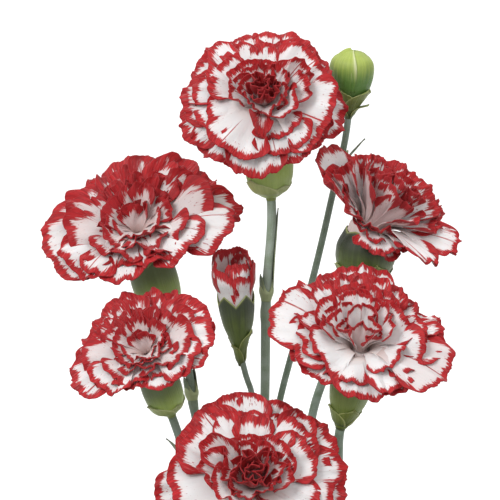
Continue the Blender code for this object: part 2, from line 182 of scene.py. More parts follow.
@dataclass
class Skin:
    """The points, faces and surface values of one piece, gathered part by part.

    The value called flow says where a point lies on its own part, and paint holds four more numbers
    for the finish to read. One of those four, the back channel, is set to the back value on the back of
    each sheet. With cells given, the parts are laid side by side on a map of their own.
    """

    name: str
    cells: int = 0
    # By default the back channel is the third number, which a green finish reads as painted shade, so the
    # backs of green sheets are painted darker.
    back_channel: int = 2
    back_value: float = 1.0
    points: list[Array] = field(default_factory=list)
    quads: list[Array] = field(default_factory=list)
    tris: list[Array] = field(default_factory=list)
    flow: list[Array] = field(default_factory=list)
    paint: list[Array] = field(default_factory=list)
    quad_map: list[Array] = field(default_factory=list)
    tri_map: list[Array] = field(default_factory=list)
    used: int = 0
    cell: int = 0

    MAP_MARGIN = 0.04
    MAP_TIP = np.array([0.0, 0.01])

    def _take(self, points: Array, flow: Array, paint: Array) -> int:
        """Adds points with their values, and returns the number of the first."""
        first = self.used
        self.points.append(points)
        self.flow.append(flow)
        self.paint.append(paint)
        self.used += len(points)
        return first

    def _cell_map(self, rows: int, columns: int) -> Array:
        """Map places for a grid, inside the next free cell of a square layout."""
        across = max(1, math.ceil(math.sqrt(max(self.cells, 1))))
        corner = np.array([self.cell % across, self.cell // across], float)
        self.cell += 1
        low, high = self.MAP_MARGIN, 1.0 - self.MAP_MARGIN
        u, v = np.meshgrid(np.linspace(low, high, columns), np.linspace(low, high, rows))
        return ((corner + np.stack([u, v], axis=-1)) / across).reshape(-1, 2)

    def add_sheet(self, top: Array, thickness: float, flow: Array, paint: Array) -> None:
        """Adds an open sheet as a closed shell: its own grid, a second one that thickness behind it
        along the normals, and a rim that joins their edges.

        Args:
            top: The sheet's front, as rows of points.
            thickness: How thick the shell is.
            flow: The flow value at each point.
            paint: Four numbers at each point.
        """
        rows, columns = top.shape[:2]
        count = rows * columns
        back = top - grid_normals(top) * thickness
        front_paint = paint.reshape(-1, 4)
        back_paint = front_paint.copy()
        back_paint[:, self.back_channel] = self.back_value
        first = self._take(
            np.concatenate([top.reshape(-1, 3), back.reshape(-1, 3)]),
            np.concatenate([flow.reshape(-1, 3)] * 2),
            np.concatenate([front_paint, back_paint]),
        )
        index = np.arange(count).reshape(rows, columns)
        front = np.stack([index[:-1, :-1], index[:-1, 1:], index[1:, 1:], index[1:, :-1]], -1).reshape(-1, 4)
        behind = front[:, ::-1] + count
        edge = np.concatenate([index[0, :-1], index[:-1, -1], index[-1, :0:-1], index[:0:-1, 0]])
        after = np.roll(edge, -1)
        rim = np.stack([after, edge, edge + count, after + count], -1)
        self.quads.append(np.concatenate([front, behind, rim]) + first)
        front_map = self._cell_map(rows, columns)
        back_map = self._cell_map(rows, columns)
        both = np.concatenate([front_map, back_map])
        rim_map = front_map[np.stack([after, edge, edge, after], -1)]
        self.quad_map.append(np.concatenate([both[front], both[behind], rim_map]))

    def add_tube(self, rings: Array, flow: Array, paint: Array) -> None:
        """Adds a closed tube: rings of points joined in order, with a point that closes each end.

        Args:
            rings: The rings, each turning anticlockwise about the way the rings advance.
            flow: The flow value at each point.
            paint: Four numbers at each point.
        """
        rows, columns = rings.shape[:2]
        count = rows * columns
        ends = np.stack([rings[0].mean(axis=0), rings[-1].mean(axis=0)])
        first = self._take(
            np.concatenate([rings.reshape(-1, 3), ends]),
            np.concatenate([flow.reshape(-1, 3), flow[[0, -1]].mean(axis=1)]),
            np.concatenate([paint.reshape(-1, 4), paint[[0, -1]].mean(axis=1)]),
        )
        index = np.arange(count).reshape(rows, columns)
        after = np.roll(index, -1, axis=1)
        quads = np.stack([index[:-1], after[:-1], after[1:], index[1:]], -1).reshape(-1, 4)
        low = np.stack([after[0], index[0], np.full(columns, count)], -1)
        high = np.stack([index[-1], after[-1], np.full(columns, count + 1)], -1)
        self.quads.append(quads + first)
        self.tris.append(np.concatenate([low, high]) + first)
        places = self._cell_map(rows, columns + 1).reshape(rows, columns + 1, 2)
        corners = [places[:-1, :-1], places[:-1, 1:], places[1:, 1:], places[1:, :-1]]
        self.quad_map.append(np.stack(corners, -2).reshape(-1, 4, 2))
        middle = (places[0, :-1] + places[0, 1:]) / 2
        low_map = np.stack([places[0, 1:], places[0, :-1], middle - self.MAP_TIP], -2)
        top = (places[-1, :-1] + places[-1, 1:]) / 2
        high_map = np.stack([places[-1, :-1], places[-1, 1:], top + self.MAP_TIP], -2)
        self.tri_map.append(np.concatenate([low_map, high_map]))

    def build(self, finish: Material, slot: Slot, *nodes: str) -> None:
        """Makes the mesh object, gives it its finish and hands it to the frame.

        Args:
            finish: The material.
            slot: The record's slot it stands for; it is not used.
            nodes: The CAD nodes it replaces.
        """
        points = np.concatenate(self.points) * MM
        quads = np.concatenate(self.quads)
        tris = np.concatenate(self.tris) if self.tris else np.zeros((0, 3), int)
        mesh = bpy.data.meshes.new(self.name)
        mesh.vertices.add(len(points))
        mesh.vertices.foreach_set("co", points.astype(np.float32).ravel())
        mesh.loops.add(quads.size + tris.size)
        mesh.loops.foreach_set("vertex_index", np.concatenate([quads.ravel(), tris.ravel()]).astype(np.int32))
        mesh.polygons.add(len(quads) + len(tris))
        starts = np.concatenate([np.arange(len(quads)) * 4, quads.size + np.arange(len(tris)) * 3])
        mesh.polygons.foreach_set("loop_start", starts.astype(np.int32))
        mesh.update(calc_edges=True)
        flow = mesh.attributes.new("flow", "FLOAT_VECTOR", "POINT")
        flow.data.foreach_set("vector", np.concatenate(self.flow).astype(np.float32).ravel())
        paint = mesh.attributes.new("paint", "FLOAT_COLOR", "POINT")
        paint.data.foreach_set("color", np.concatenate(self.paint).astype(np.float32).ravel())
        if self.cells:
            places = [m.reshape(-1, 2) for m in self.quad_map + self.tri_map]
            layer = mesh.uv_layers.new(name="OFBake")
            layer.uv.foreach_set("vector", np.concatenate(places).astype(np.float32).ravel())
        mesh.shade_smooth()
        mesh.materials.append(finish)
        piece = bpy.data.objects.new(self.name, mesh)
        bpy.context.scene.collection.objects.link(piece)
        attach(piece, "root")
        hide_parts(*nodes)
        LOG.info("%s: %d faces", self.name, len(quads) + len(tris))


# ------------------------------------------------------------------ shader nodes


class Nodes:
    """Short calls that add nodes to one tree and join them."""

    def __init__(self, tree: Tree) -> None:
        """Starts on a tree."""
        self.tree = tree

    def add(self, kind: str, **settings: object) -> Node:
        """Adds a node and sets its properties."""
        node = self.tree.nodes.new(f"ShaderNode{kind}")
        for name, value in settings.items():
            setattr(node, name, value)
        return node

    def feed(self, socket: Socket, value: object) -> None:
        """Joins a socket to another node's output, or sets its own value."""
        if isinstance(value, Socket):
            self.tree.links.new(value, socket)
        else:
            socket.default_value = value

    def fill(self, node: Node, **values: object) -> None:
        """Feeds a node's inputs by name, with _ for a space."""
        for name, value in values.items():
            self.feed(node.inputs[name.replace("_", " ")], value)

    def maths(self, operation: str, first: object, second: object = 0.0, clamp: bool = False) -> Socket:
        """The result of one operation on two values."""
        node = self.add("Math", operation=operation, use_clamp=clamp)
        self.feed(node.inputs[0], first)
        self.feed(node.inputs[1], second)
        return node.outputs[0]

    def times(self, first: object, second: object, clamp: bool = False) -> Socket:
        """One value times another."""
        return self.maths("MULTIPLY", first, second, clamp)

    def plus(self, first: object, second: object, clamp: bool = False) -> Socket:
        """One value plus another."""
        return self.maths("ADD", first, second, clamp)

    def less(self, first: object, second: object) -> Socket:
        """One value less another."""
        return self.maths("SUBTRACT", first, second)

    def ramp(self, value: object, low: float, high: float, start: float = 0.0, end: float = 1.0) -> Socket:
        """A smooth ramp from start to end as the value goes from low to high."""
        node = self.add("MapRange", interpolation_type="SMOOTHSTEP")
        self.fill(node, Value=value, From_Min=low, From_Max=high, To_Min=start, To_Max=end)
        return node.outputs["Result"]

    def blend(self, share: object, low: object, high: object, way: str = "MIX") -> Socket:
        """A mix of two colours, which are inputs 6 and 7 of the node, as its output 2 is."""
        node = self.add("Mix", data_type="RGBA", blend_type=way)
        self.feed(node.inputs["Factor"], share)
        for number, colour in ((6, low), (7, high)):
            self.feed(node.inputs[number], (*colour, 1.0) if isinstance(colour, tuple) else colour)
        return node.outputs[2]

    def vector(self, x: object, y: object, z: object) -> Socket:
        """A vector from three values."""
        node = self.add("CombineXYZ")
        self.fill(node, X=x, Y=y, Z=z)
        return node.outputs[0]

    def split(self, vector: Socket) -> list[Socket]:
        """The three parts of a vector."""
        node = self.add("SeparateXYZ")
        self.feed(node.inputs[0], vector)
        return list(node.outputs)

    def place(self) -> Socket:
        """A point's own place in its object, in metres."""
        return self.add("TexCoord").outputs["Object"]

    def noise(self, vector: object, scale: object, detail: float = 2.0, rough: float = 0.5) -> Socket:
        """Soft noise from 0 to 1."""
        node = self.add("TexNoise")
        self.fill(node, Vector=vector, Scale=scale, Detail=detail, Roughness=rough)
        return node.outputs["Fac"]

    def group(self, tree: Tree, **inputs: object) -> bpy.types.NodeOutputs:
        """Places a node group, feeds its inputs by name and returns its outputs."""
        node = self.add("Group", node_tree=tree)
        self.fill(node, **inputs)
        return node.outputs


FLOAT = "NodeSocketFloat"
VECTOR = "NodeSocketVector"


@dataclass
class GroupMaker:
    """A shader node group under construction, with named inputs and number outputs."""

    name: str
    inputs: dict[str, str]
    outputs: tuple[str, ...] = ("Value",)

    def __post_init__(self) -> None:
        """Makes the tree and its sockets."""
        self.tree = bpy.data.node_groups.new(self.name, "ShaderNodeTree")
        for name, kind in self.inputs.items():
            self.tree.interface.new_socket(name, in_out="INPUT", socket_type=kind)
        for name in self.outputs:
            self.tree.interface.new_socket(name, in_out="OUTPUT", socket_type=FLOAT)
        self.nodes = Nodes(self.tree)
        self.given = self.tree.nodes.new("NodeGroupInput").outputs

    def close(self, **results: Socket) -> Tree:
        """Feeds the results to the outputs and returns the tree."""
        self.nodes.fill(self.tree.nodes.new("NodeGroupOutput"), **results)
        return self.tree


def make_streaks() -> Tree:
    """Noise drawn out along a petal: its flow's across value times Across, and its along value times Along,
    each moved by the petal's own seed so that no two petals match."""
    made = GroupMaker("petal_streaks", {"Flow": VECTOR, "Across": FLOAT, "Along": FLOAT})
    n = made.nodes
    across, along, seed = n.split(made.given["Flow"])
    x = n.plus(n.times(across, made.given["Across"]), n.times(seed, 7.1))
    y = n.plus(n.times(along, made.given["Along"]), n.times(seed, 3.3))
    return made.close(Value=n.noise(n.vector(x, y, n.times(seed, 5.7)), 1.0))


def make_ribs() -> Tree:
    """Fine lines along a stem or a cup: noise that changes Count times as fast round it as along it."""
    made = GroupMaker("lengthwise_ribs", {"Flow": VECTOR, "Count": FLOAT})
    n, count = made.nodes, made.given["Count"]
    x, y, z = n.split(made.given["Flow"])
    place = n.vector(n.times(x, count), n.times(y, count), n.times(z, 0.35))
    return made.close(Value=n.noise(place, 1.0, 3.0))


def make_mottle() -> Tree:
    """Soft patches: noise in the model's own space, stretched to the whole range from 0 to 1."""
    made = GroupMaker("mottle", {"Place": VECTOR, "Scale": FLOAT})
    n = made.nodes
    return made.close(Value=n.ramp(n.noise(made.given["Place"], made.given["Scale"], 4.0), 0.32, 0.68))


def make_wax() -> Tree:
    """Where the pale waxy powder of a carnation's green parts is left: patches, rubbed thin in fine spots."""
    made = GroupMaker("waxy_powder", {"Place": VECTOR, "Amount": FLOAT}, ("Mask",))
    n, place = made.nodes, made.given["Place"]
    both = n.plus(n.times(n.noise(place, 160.0, 3.0), 0.7), n.times(n.noise(place, 1900.0), 0.3))
    return made.close(Mask=n.times(n.ramp(both, 0.34, 0.62), made.given["Amount"], True))


def make_grain() -> Tree:
    """Pine grain: yearly rings round a line below the board, bent by noise, and fine fibres along it."""
    made = GroupMaker("pine_grain", {"Place": VECTOR, "Seed": FLOAT}, ("Rings", "Fibres"))
    n = made.nodes
    x, y, z = n.split(made.given["Place"])
    wander = n.noise(n.vector(n.times(x, 0.10), y, n.plus(z, made.given["Seed"])), 22.0)
    away = n.plus(y, n.times(wander, 0.030))
    high = n.plus(z, n.times(wander, 0.022))
    far = n.maths("SQRT", n.plus(n.times(away, away), n.times(high, high)))
    year = n.maths("FRACT", n.times(far, 240.0))
    rings = n.times(n.ramp(year, 0.0, 0.82), n.ramp(year, 0.86, 1.0, 1.0, 0.0))
    thin = n.vector(n.times(x, 40.0), n.times(y, 1600.0), n.times(z, 1600.0))
    return made.close(Rings=rings, Fibres=n.noise(thin, 1.0, 3.0))


@dataclass
class Groups:
    """The node groups that the finishes share."""

    streaks: Tree = field(default_factory=make_streaks)
    ribs: Tree = field(default_factory=make_ribs)
    mottle: Tree = field(default_factory=make_mottle)
    wax: Tree = field(default_factory=make_wax)
    grain: Tree = field(default_factory=make_grain)


# ------------------------------------------------------------------ finishes


@dataclass(frozen=True)
class Finish:
    """What every finish has: a name, how rough it is, and a blank material to start from."""

    name: str
    roughness: float

    def start(self) -> tuple[Material, Nodes, Node]:
        """A material with only its Principled shader, set to this roughness."""
        material = bpy.data.materials.new(self.name)
        material.use_nodes = True
        n = Nodes(material.node_tree)
        shader = material.node_tree.nodes["Principled BSDF"]
        n.fill(shader, Roughness=self.roughness, Specular_IOR_Level=0.35)
        return material, n, shader


def surface_values(n: Nodes) -> tuple[Socket, list[Socket], list[Socket]]:
    """The values that the meshes carry for their finishes.

    Args:
        n: The material's nodes.

    Returns:
        The flow vector, its three parts, and the paint's four numbers.
    """
    flow = n.add("Attribute", attribute_name="flow").outputs["Vector"]
    paint = n.add("Attribute", attribute_name="paint").outputs
    colour = n.add("SeparateColor")
    n.feed(colour.inputs[0], paint["Color"])
    return flow, n.split(flow), [*colour.outputs, paint["Alpha"]]


def bump(n: Nodes, shader: Node, height: Socket, strength: float, distance: float) -> None:
    """Feeds a height to the shader's normal.

    Args:
        n: The material's nodes.
        shader: The Principled shader.
        height: The height, from 0 to 1.
        strength: The bump's strength.
        distance: How far 1 stands out, in metres.
    """
    node = n.add("Bump")
    n.fill(node, Strength=strength, Distance=distance, Height=height)
    n.fill(shader, Normal=node.outputs["Normal"])


@dataclass(frozen=True)
class PetalFinish(Finish):
    """White petals with a feathered red margin, red dashes inside it, and a paler back."""

    white: Colour = (0.82, 0.793, 0.79)
    # The petal's own pink, for its streaks, hairs and the feathering by the red.
    blush_and_shade: Colour = (0.74, 0.46, 0.45)
    # Painted shade: what the white darkens to on petals deep in a bloom.
    shade: Colour = (0.47, 0.27, 0.255)
    # Painted shade: the darker pink each petal takes from its foot to half way along, deep in the bloom.
    claw_shade: Colour = (0.60, 0.42, 0.36)
    red: Colour = (0.52, 0.019, 0.023)
    deep_red: Colour = (0.30, 0.008, 0.012)
    back_white: Colour = (0.70, 0.57, 0.56)
    back_red: Colour = (0.40, 0.03, 0.035)
    strokes: float = 1.30
    hairs: float = 1.15

    # How fast the broad streaks, strokes, fine hairs and specks change across a petal and along it.
    STREAKS = ((3.2, 1.2), (21.0, 3.5), (48.0, 6.0), (24.0, 15.0))

    def build(self, groups: Groups) -> Material:
        """Makes the material.

        The paint gives the distance from the margin in bands. Red shows where that is less than about
        one band, made ragged by strokes and hairs along the petal. Dashes and now and then a long line
        lie inside it.

        Args:
            groups: The shared node groups.

        Returns:
            The material.
        """
        material, n, shader = self.start()
        flow, (across, along, _), (back, line, rim, painted_shade_share) = surface_values(n)
        broad, strokes, fine, specks = (
            n.group(groups.streaks, Flow=flow, Across=wide, Along=tall)[0] for wide, tall in self.STREAKS)
        ragged = n.plus(n.times(n.less(strokes, 0.5), self.strokes), n.times(n.less(fine, 0.5), self.hairs))
        edge = n.less(n.plus(n.ramp(broad, 0.25, 0.75, 0.78, 1.25), ragged), rim)
        zone = n.times(n.ramp(rim, 1.2, 3.2, 1.0, 0.0), n.ramp(along, 0.3, 0.5))
        dashes = n.times(n.ramp(specks, 0.64, 0.70), n.times(zone, 0.75))
        off_line = n.maths("ABSOLUTE", n.less(across, line))
        long_line = n.times(n.ramp(off_line, 0.008, 0.034, 1.0, 0.0), n.ramp(along, 0.40, 0.62))
        long_line = n.times(long_line, n.ramp(fine, 0.30, 0.45))
        marks = n.maths("MAXIMUM", n.maths("MAXIMUM", n.ramp(edge, -0.14, 0.16), dashes), long_line)
        ground = n.blend(n.ramp(broad, 0.45, 0.85, 0.0, 0.22), self.white, self.blush_and_shade)
        # Painted shade: darker pink from the petal's foot to half way along it.
        ground = n.blend(n.ramp(along, 0.02, 0.55, 0.75, 0.0), ground, self.claw_shade)
        ground = n.blend(n.times(n.ramp(edge, -0.9, 0.0), 0.22), ground, self.blush_and_shade)
        under = n.blend(n.ramp(strokes, 0.3, 0.7, 0.0, 0.3), self.back_white, self.blush_and_shade)
        ground = n.blend(n.times(back, 0.8), ground, under)
        red = n.blend(n.ramp(strokes, 0.30, 0.72), self.deep_red, self.red)
        red = n.blend(n.times(n.ramp(fine, 0.56, 0.8), 0.28), red, self.blush_and_shade)
        red = n.blend(n.ramp(rim, 0.0, 0.18, 0.45, 0.0), red, self.deep_red)
        red = n.blend(n.times(back, 0.6), red, self.back_red)
        # Painted shade: the paint's fourth number darkens the white towards the shade colour and the red
        # towards deep red.
        colour = n.blend(marks, n.blend(painted_shade_share, ground, self.shade), n.blend(painted_shade_share, red, self.deep_red))
        rough = n.ramp(fine, 0.2, 0.8, self.roughness - 0.08, self.roughness + 0.08)
        n.fill(shader, Base_Color=colour, Roughness=rough, Specular_IOR_Level=0.2, Sheen_Weight=0.08,
               Subsurface_Weight=0.10, Subsurface_Radius=(0.0018, 0.0009, 0.0007), Subsurface_Scale=1.0)
        bump(n, shader, n.plus(n.times(strokes, 0.6), n.times(fine, 0.4)), 0.35, 0.0009)
        return material


@dataclass(frozen=True)
class GreenFinish(Finish):
    """Waxy green tissue with fine ribs, darker or lighter towards its tip, and a pale edge."""

    base: Colour
    tip: Colour
    edge: Colour
    powder: Colour = (0.55, 0.62, 0.52)
    shade: Colour = (0.055, 0.070, 0.040)
    wax: float = 0.35
    ribs: float = 26.0
    rib_share: float = 0.30

    DARKER = (0.62, 0.66, 0.55)

    def build(self, groups: Groups) -> Material:
        """Makes the material. Its colour runs from base to tip by the paint's first number, its edge
        shows by the second, and the third darkens it towards the shade colour as painted shade.

        Args:
            groups: The shared node groups.

        Returns:
            The material.
        """
        material, n, shader = self.start()
        flow, _, (up, edge, shade, _) = surface_values(n)
        place = n.place()
        ribs = n.group(groups.ribs, Flow=flow, Count=self.ribs)[0]
        coarse = n.group(groups.ribs, Flow=flow, Count=self.ribs * 0.3)[0]
        patches = n.group(groups.mottle, Place=place, Scale=210.0)[0]
        powder = n.group(groups.wax, Place=place, Amount=self.wax)[0]
        shift = n.plus(up, n.times(n.less(coarse, 0.5), 0.7))
        colour = n.blend(n.ramp(shift, 0.0, 1.0), self.base, self.tip)
        darker = n.blend(1.0, colour, self.DARKER, "MULTIPLY")
        colour = n.blend(n.times(n.ramp(ribs, 0.42, 0.62), self.rib_share), colour, darker)
        colour = n.blend(n.times(patches, 0.28), colour, darker)
        colour = n.blend(powder, colour, self.powder)
        colour = n.blend(edge, colour, self.edge)
        # Painted shade: the third paint number darkens the colour towards the shade colour.
        colour = n.blend(n.times(shade, 0.9), colour, self.shade)
        n.fill(shader, Base_Color=colour, Roughness=n.plus(n.times(powder, 0.3), self.roughness, True))
        bump(n, shader, n.plus(ribs, n.times(coarse, 0.8)), 0.4, 0.0006)
        return material


@dataclass(frozen=True)
class PineFinish(Finish):
    """Planed pine: pale early wood, browner late wood, fine fibres and soft patches."""

    turn: float
    seed: float
    early: Colour = (0.66, 0.45, 0.25)
    late: Colour = (0.44, 0.24, 0.105)
    fibre: Colour = (0.34, 0.19, 0.09)
    patch: Colour = (0.78, 0.58, 0.36)

    def build(self, groups: Groups) -> Material:
        """Makes the material, with its grain turned to run along the board.

        Args:
            groups: The shared node groups.

        Returns:
            The material.
        """
        material, n, shader = self.start()
        mapping = n.add("Mapping")
        n.fill(mapping, Vector=n.place(), Rotation=(0.0, 0.0, math.radians(self.turn)),
               Location=(0.0, 0.052 + 0.013 * self.seed, -0.055 - 0.017 * self.seed))
        rings, fibres = n.group(groups.grain, Place=mapping.outputs[0], Seed=self.seed)
        patches = n.group(groups.mottle, Place=mapping.outputs[0], Scale=34.0)[0]
        colour = n.blend(n.times(rings, 0.75), self.early, self.late)
        colour = n.blend(n.times(n.ramp(fibres, 0.45, 0.7), 0.30), colour, self.fibre)
        colour = n.blend(n.times(patches, 0.16), colour, self.patch)
        rough = n.ramp(rings, 0.0, 1.0, self.roughness, self.roughness - 0.12)
        n.fill(shader, Base_Color=colour, Roughness=rough)
        bump(n, shader, n.plus(n.times(rings, 0.5), fibres), 0.35, 0.0004)
        return material


@dataclass(frozen=True)
class FoamFinish(Finish):
    """Wet floral foam: dark green, with fine open cells and damp patches."""

    dry: Colour = (0.075, 0.185, 0.085)
    wet: Colour = (0.022, 0.075, 0.034)

    def build(self, groups: Groups) -> Material:
        """Makes the material.

        Args:
            groups: The shared node groups.

        Returns:
            The material.
        """
        material, n, shader = self.start()
        place = n.place()
        cells = n.add("TexVoronoi", feature="F1")
        n.fill(cells, Vector=place, Scale=1150.0)
        depth = cells.outputs["Distance"]
        damp = n.group(groups.mottle, Place=place, Scale=48.0)[0]
        colour = n.blend(n.ramp(depth, 0.15, 0.6), self.dry, self.wet)
        colour = n.blend(n.times(damp, 0.6), colour, self.wet)
        n.fill(shader, Base_Color=colour, Roughness=n.ramp(damp, 0.0, 1.0, self.roughness, 0.55))
        bump(n, shader, depth, 0.7, 0.0006)
        return material


@dataclass(frozen=True)
class LinerFinish(Finish):
    """Thin pale plastic film, lightly creased and water-marked."""

    film: Colour = (0.74, 0.75, 0.73)
    mark: Colour = (0.60, 0.61, 0.57)

    def build(self, groups: Groups) -> Material:
        """Makes the material.

        Args:
            groups: The shared node groups.

        Returns:
            The material.
        """
        material, n, shader = self.start()
        place = n.place()
        marks = n.group(groups.mottle, Place=place, Scale=70.0)[0]
        n.fill(shader, Base_Color=n.blend(n.times(marks, 0.5), self.film, self.mark),
               Roughness=n.ramp(marks, 0.0, 1.0, self.roughness, self.roughness + 0.2))
        bump(n, shader, n.noise(place, 120.0, 5.0, 0.6), 0.3, 0.0012)
        return material


@dataclass
class Finishes:
    """Every material, each made once. A green one is given its colour at the base, tip and edge."""

    groups: Groups = field(default_factory=Groups)

    def __post_init__(self) -> None:
        """Builds the materials."""
        pale_edge = (0.45, 0.52, 0.36)
        grey_powder = (0.42, 0.50, 0.46)
        self.petal = self.made(PetalFinish("petal_red_edged_white", 0.55))
        self.calyx = self.made(GreenFinish(
            "calyx_green", 0.42, (0.48, 0.64, 0.15), (0.37, 0.53, 0.12), (0.52, 0.58, 0.26),
            wax=0.16, rib_share=0.22))
        # Painted shade: a darker copy of the calyx green for the fourth bloom, which sits in shade.
        self.half_shaded_calyx = self.made(GreenFinish(
            "calyx_half_shaded_green", 0.42, (0.25, 0.32, 0.07), (0.21, 0.29, 0.07), (0.50, 0.55, 0.22),
            shade=(0.06, 0.075, 0.04), wax=0.05))
        # Painted shade: a still darker copy for the fifth bloom and the half-open bud, which sit in shade.
        self.shaded_calyx = self.made(GreenFinish(
            "calyx_shaded_green", 0.45, (0.15, 0.21, 0.04), (0.032, 0.045, 0.016), (0.50, 0.55, 0.20),
            shade=(0.016, 0.020, 0.011), wax=0.03))
        # The shut bud's edge colour is a painted highlight along its sepals' margins.
        self.bud = self.made(GreenFinish(
            "shut_bud_green", 0.40, (0.095, 0.215, 0.030), (0.46, 0.56, 0.11), (0.72, 0.76, 0.42),
            wax=0.03, ribs=34.0))
        self.bract = self.made(GreenFinish(
            "bract_green", 0.45, (0.46, 0.57, 0.17), (0.60, 0.69, 0.28), (0.70, 0.76, 0.40),
            wax=0.12, ribs=20.0))
        self.dark_bract = self.made(GreenFinish(
            "bract_olive", 0.45, (0.115, 0.150, 0.036), (0.26, 0.32, 0.065), (0.55, 0.59, 0.24),
            wax=0.04, ribs=20.0))
        # Painted light: a paler copy of the stem finish for the first stem, which stands in the light.
        self.lit_stem = self.made(GreenFinish(
            "stem_lit_green", 0.48, (0.24, 0.32, 0.22), (0.33, 0.42, 0.31), pale_edge,
            (0.50, 0.58, 0.53), wax=0.55, ribs=15.0))
        self.stem = self.made(GreenFinish(
            "stem_blue_green", 0.48, (0.15, 0.215, 0.145), (0.22, 0.295, 0.21), pale_edge,
            grey_powder, wax=0.50, ribs=15.0, rib_share=0.35))
        self.leaf = self.made(GreenFinish(
            "leaf_blue_green", 0.48, (0.50, 0.58, 0.29), (0.095, 0.145, 0.085), (0.60, 0.67, 0.38),
            grey_powder, wax=0.25, ribs=18.0, rib_share=0.35))
        self.foam = self.made(FoamFinish("wet_foam", 0.85))
        self.liner = self.made(LinerFinish("liner_film", 0.32))

    def made(self, finish: Finish) -> Material:
        """A finish's material."""
        return finish.build(self.groups)


# ------------------------------------------------------------------ petals


# Where a petal without a long red line has it: past its sides, which are at -1 and 1.
NO_LINE = 5.0
# How far above the hub the rolled middle of a half-open bloom stands.
FAN_HEART_RISE = 24.0


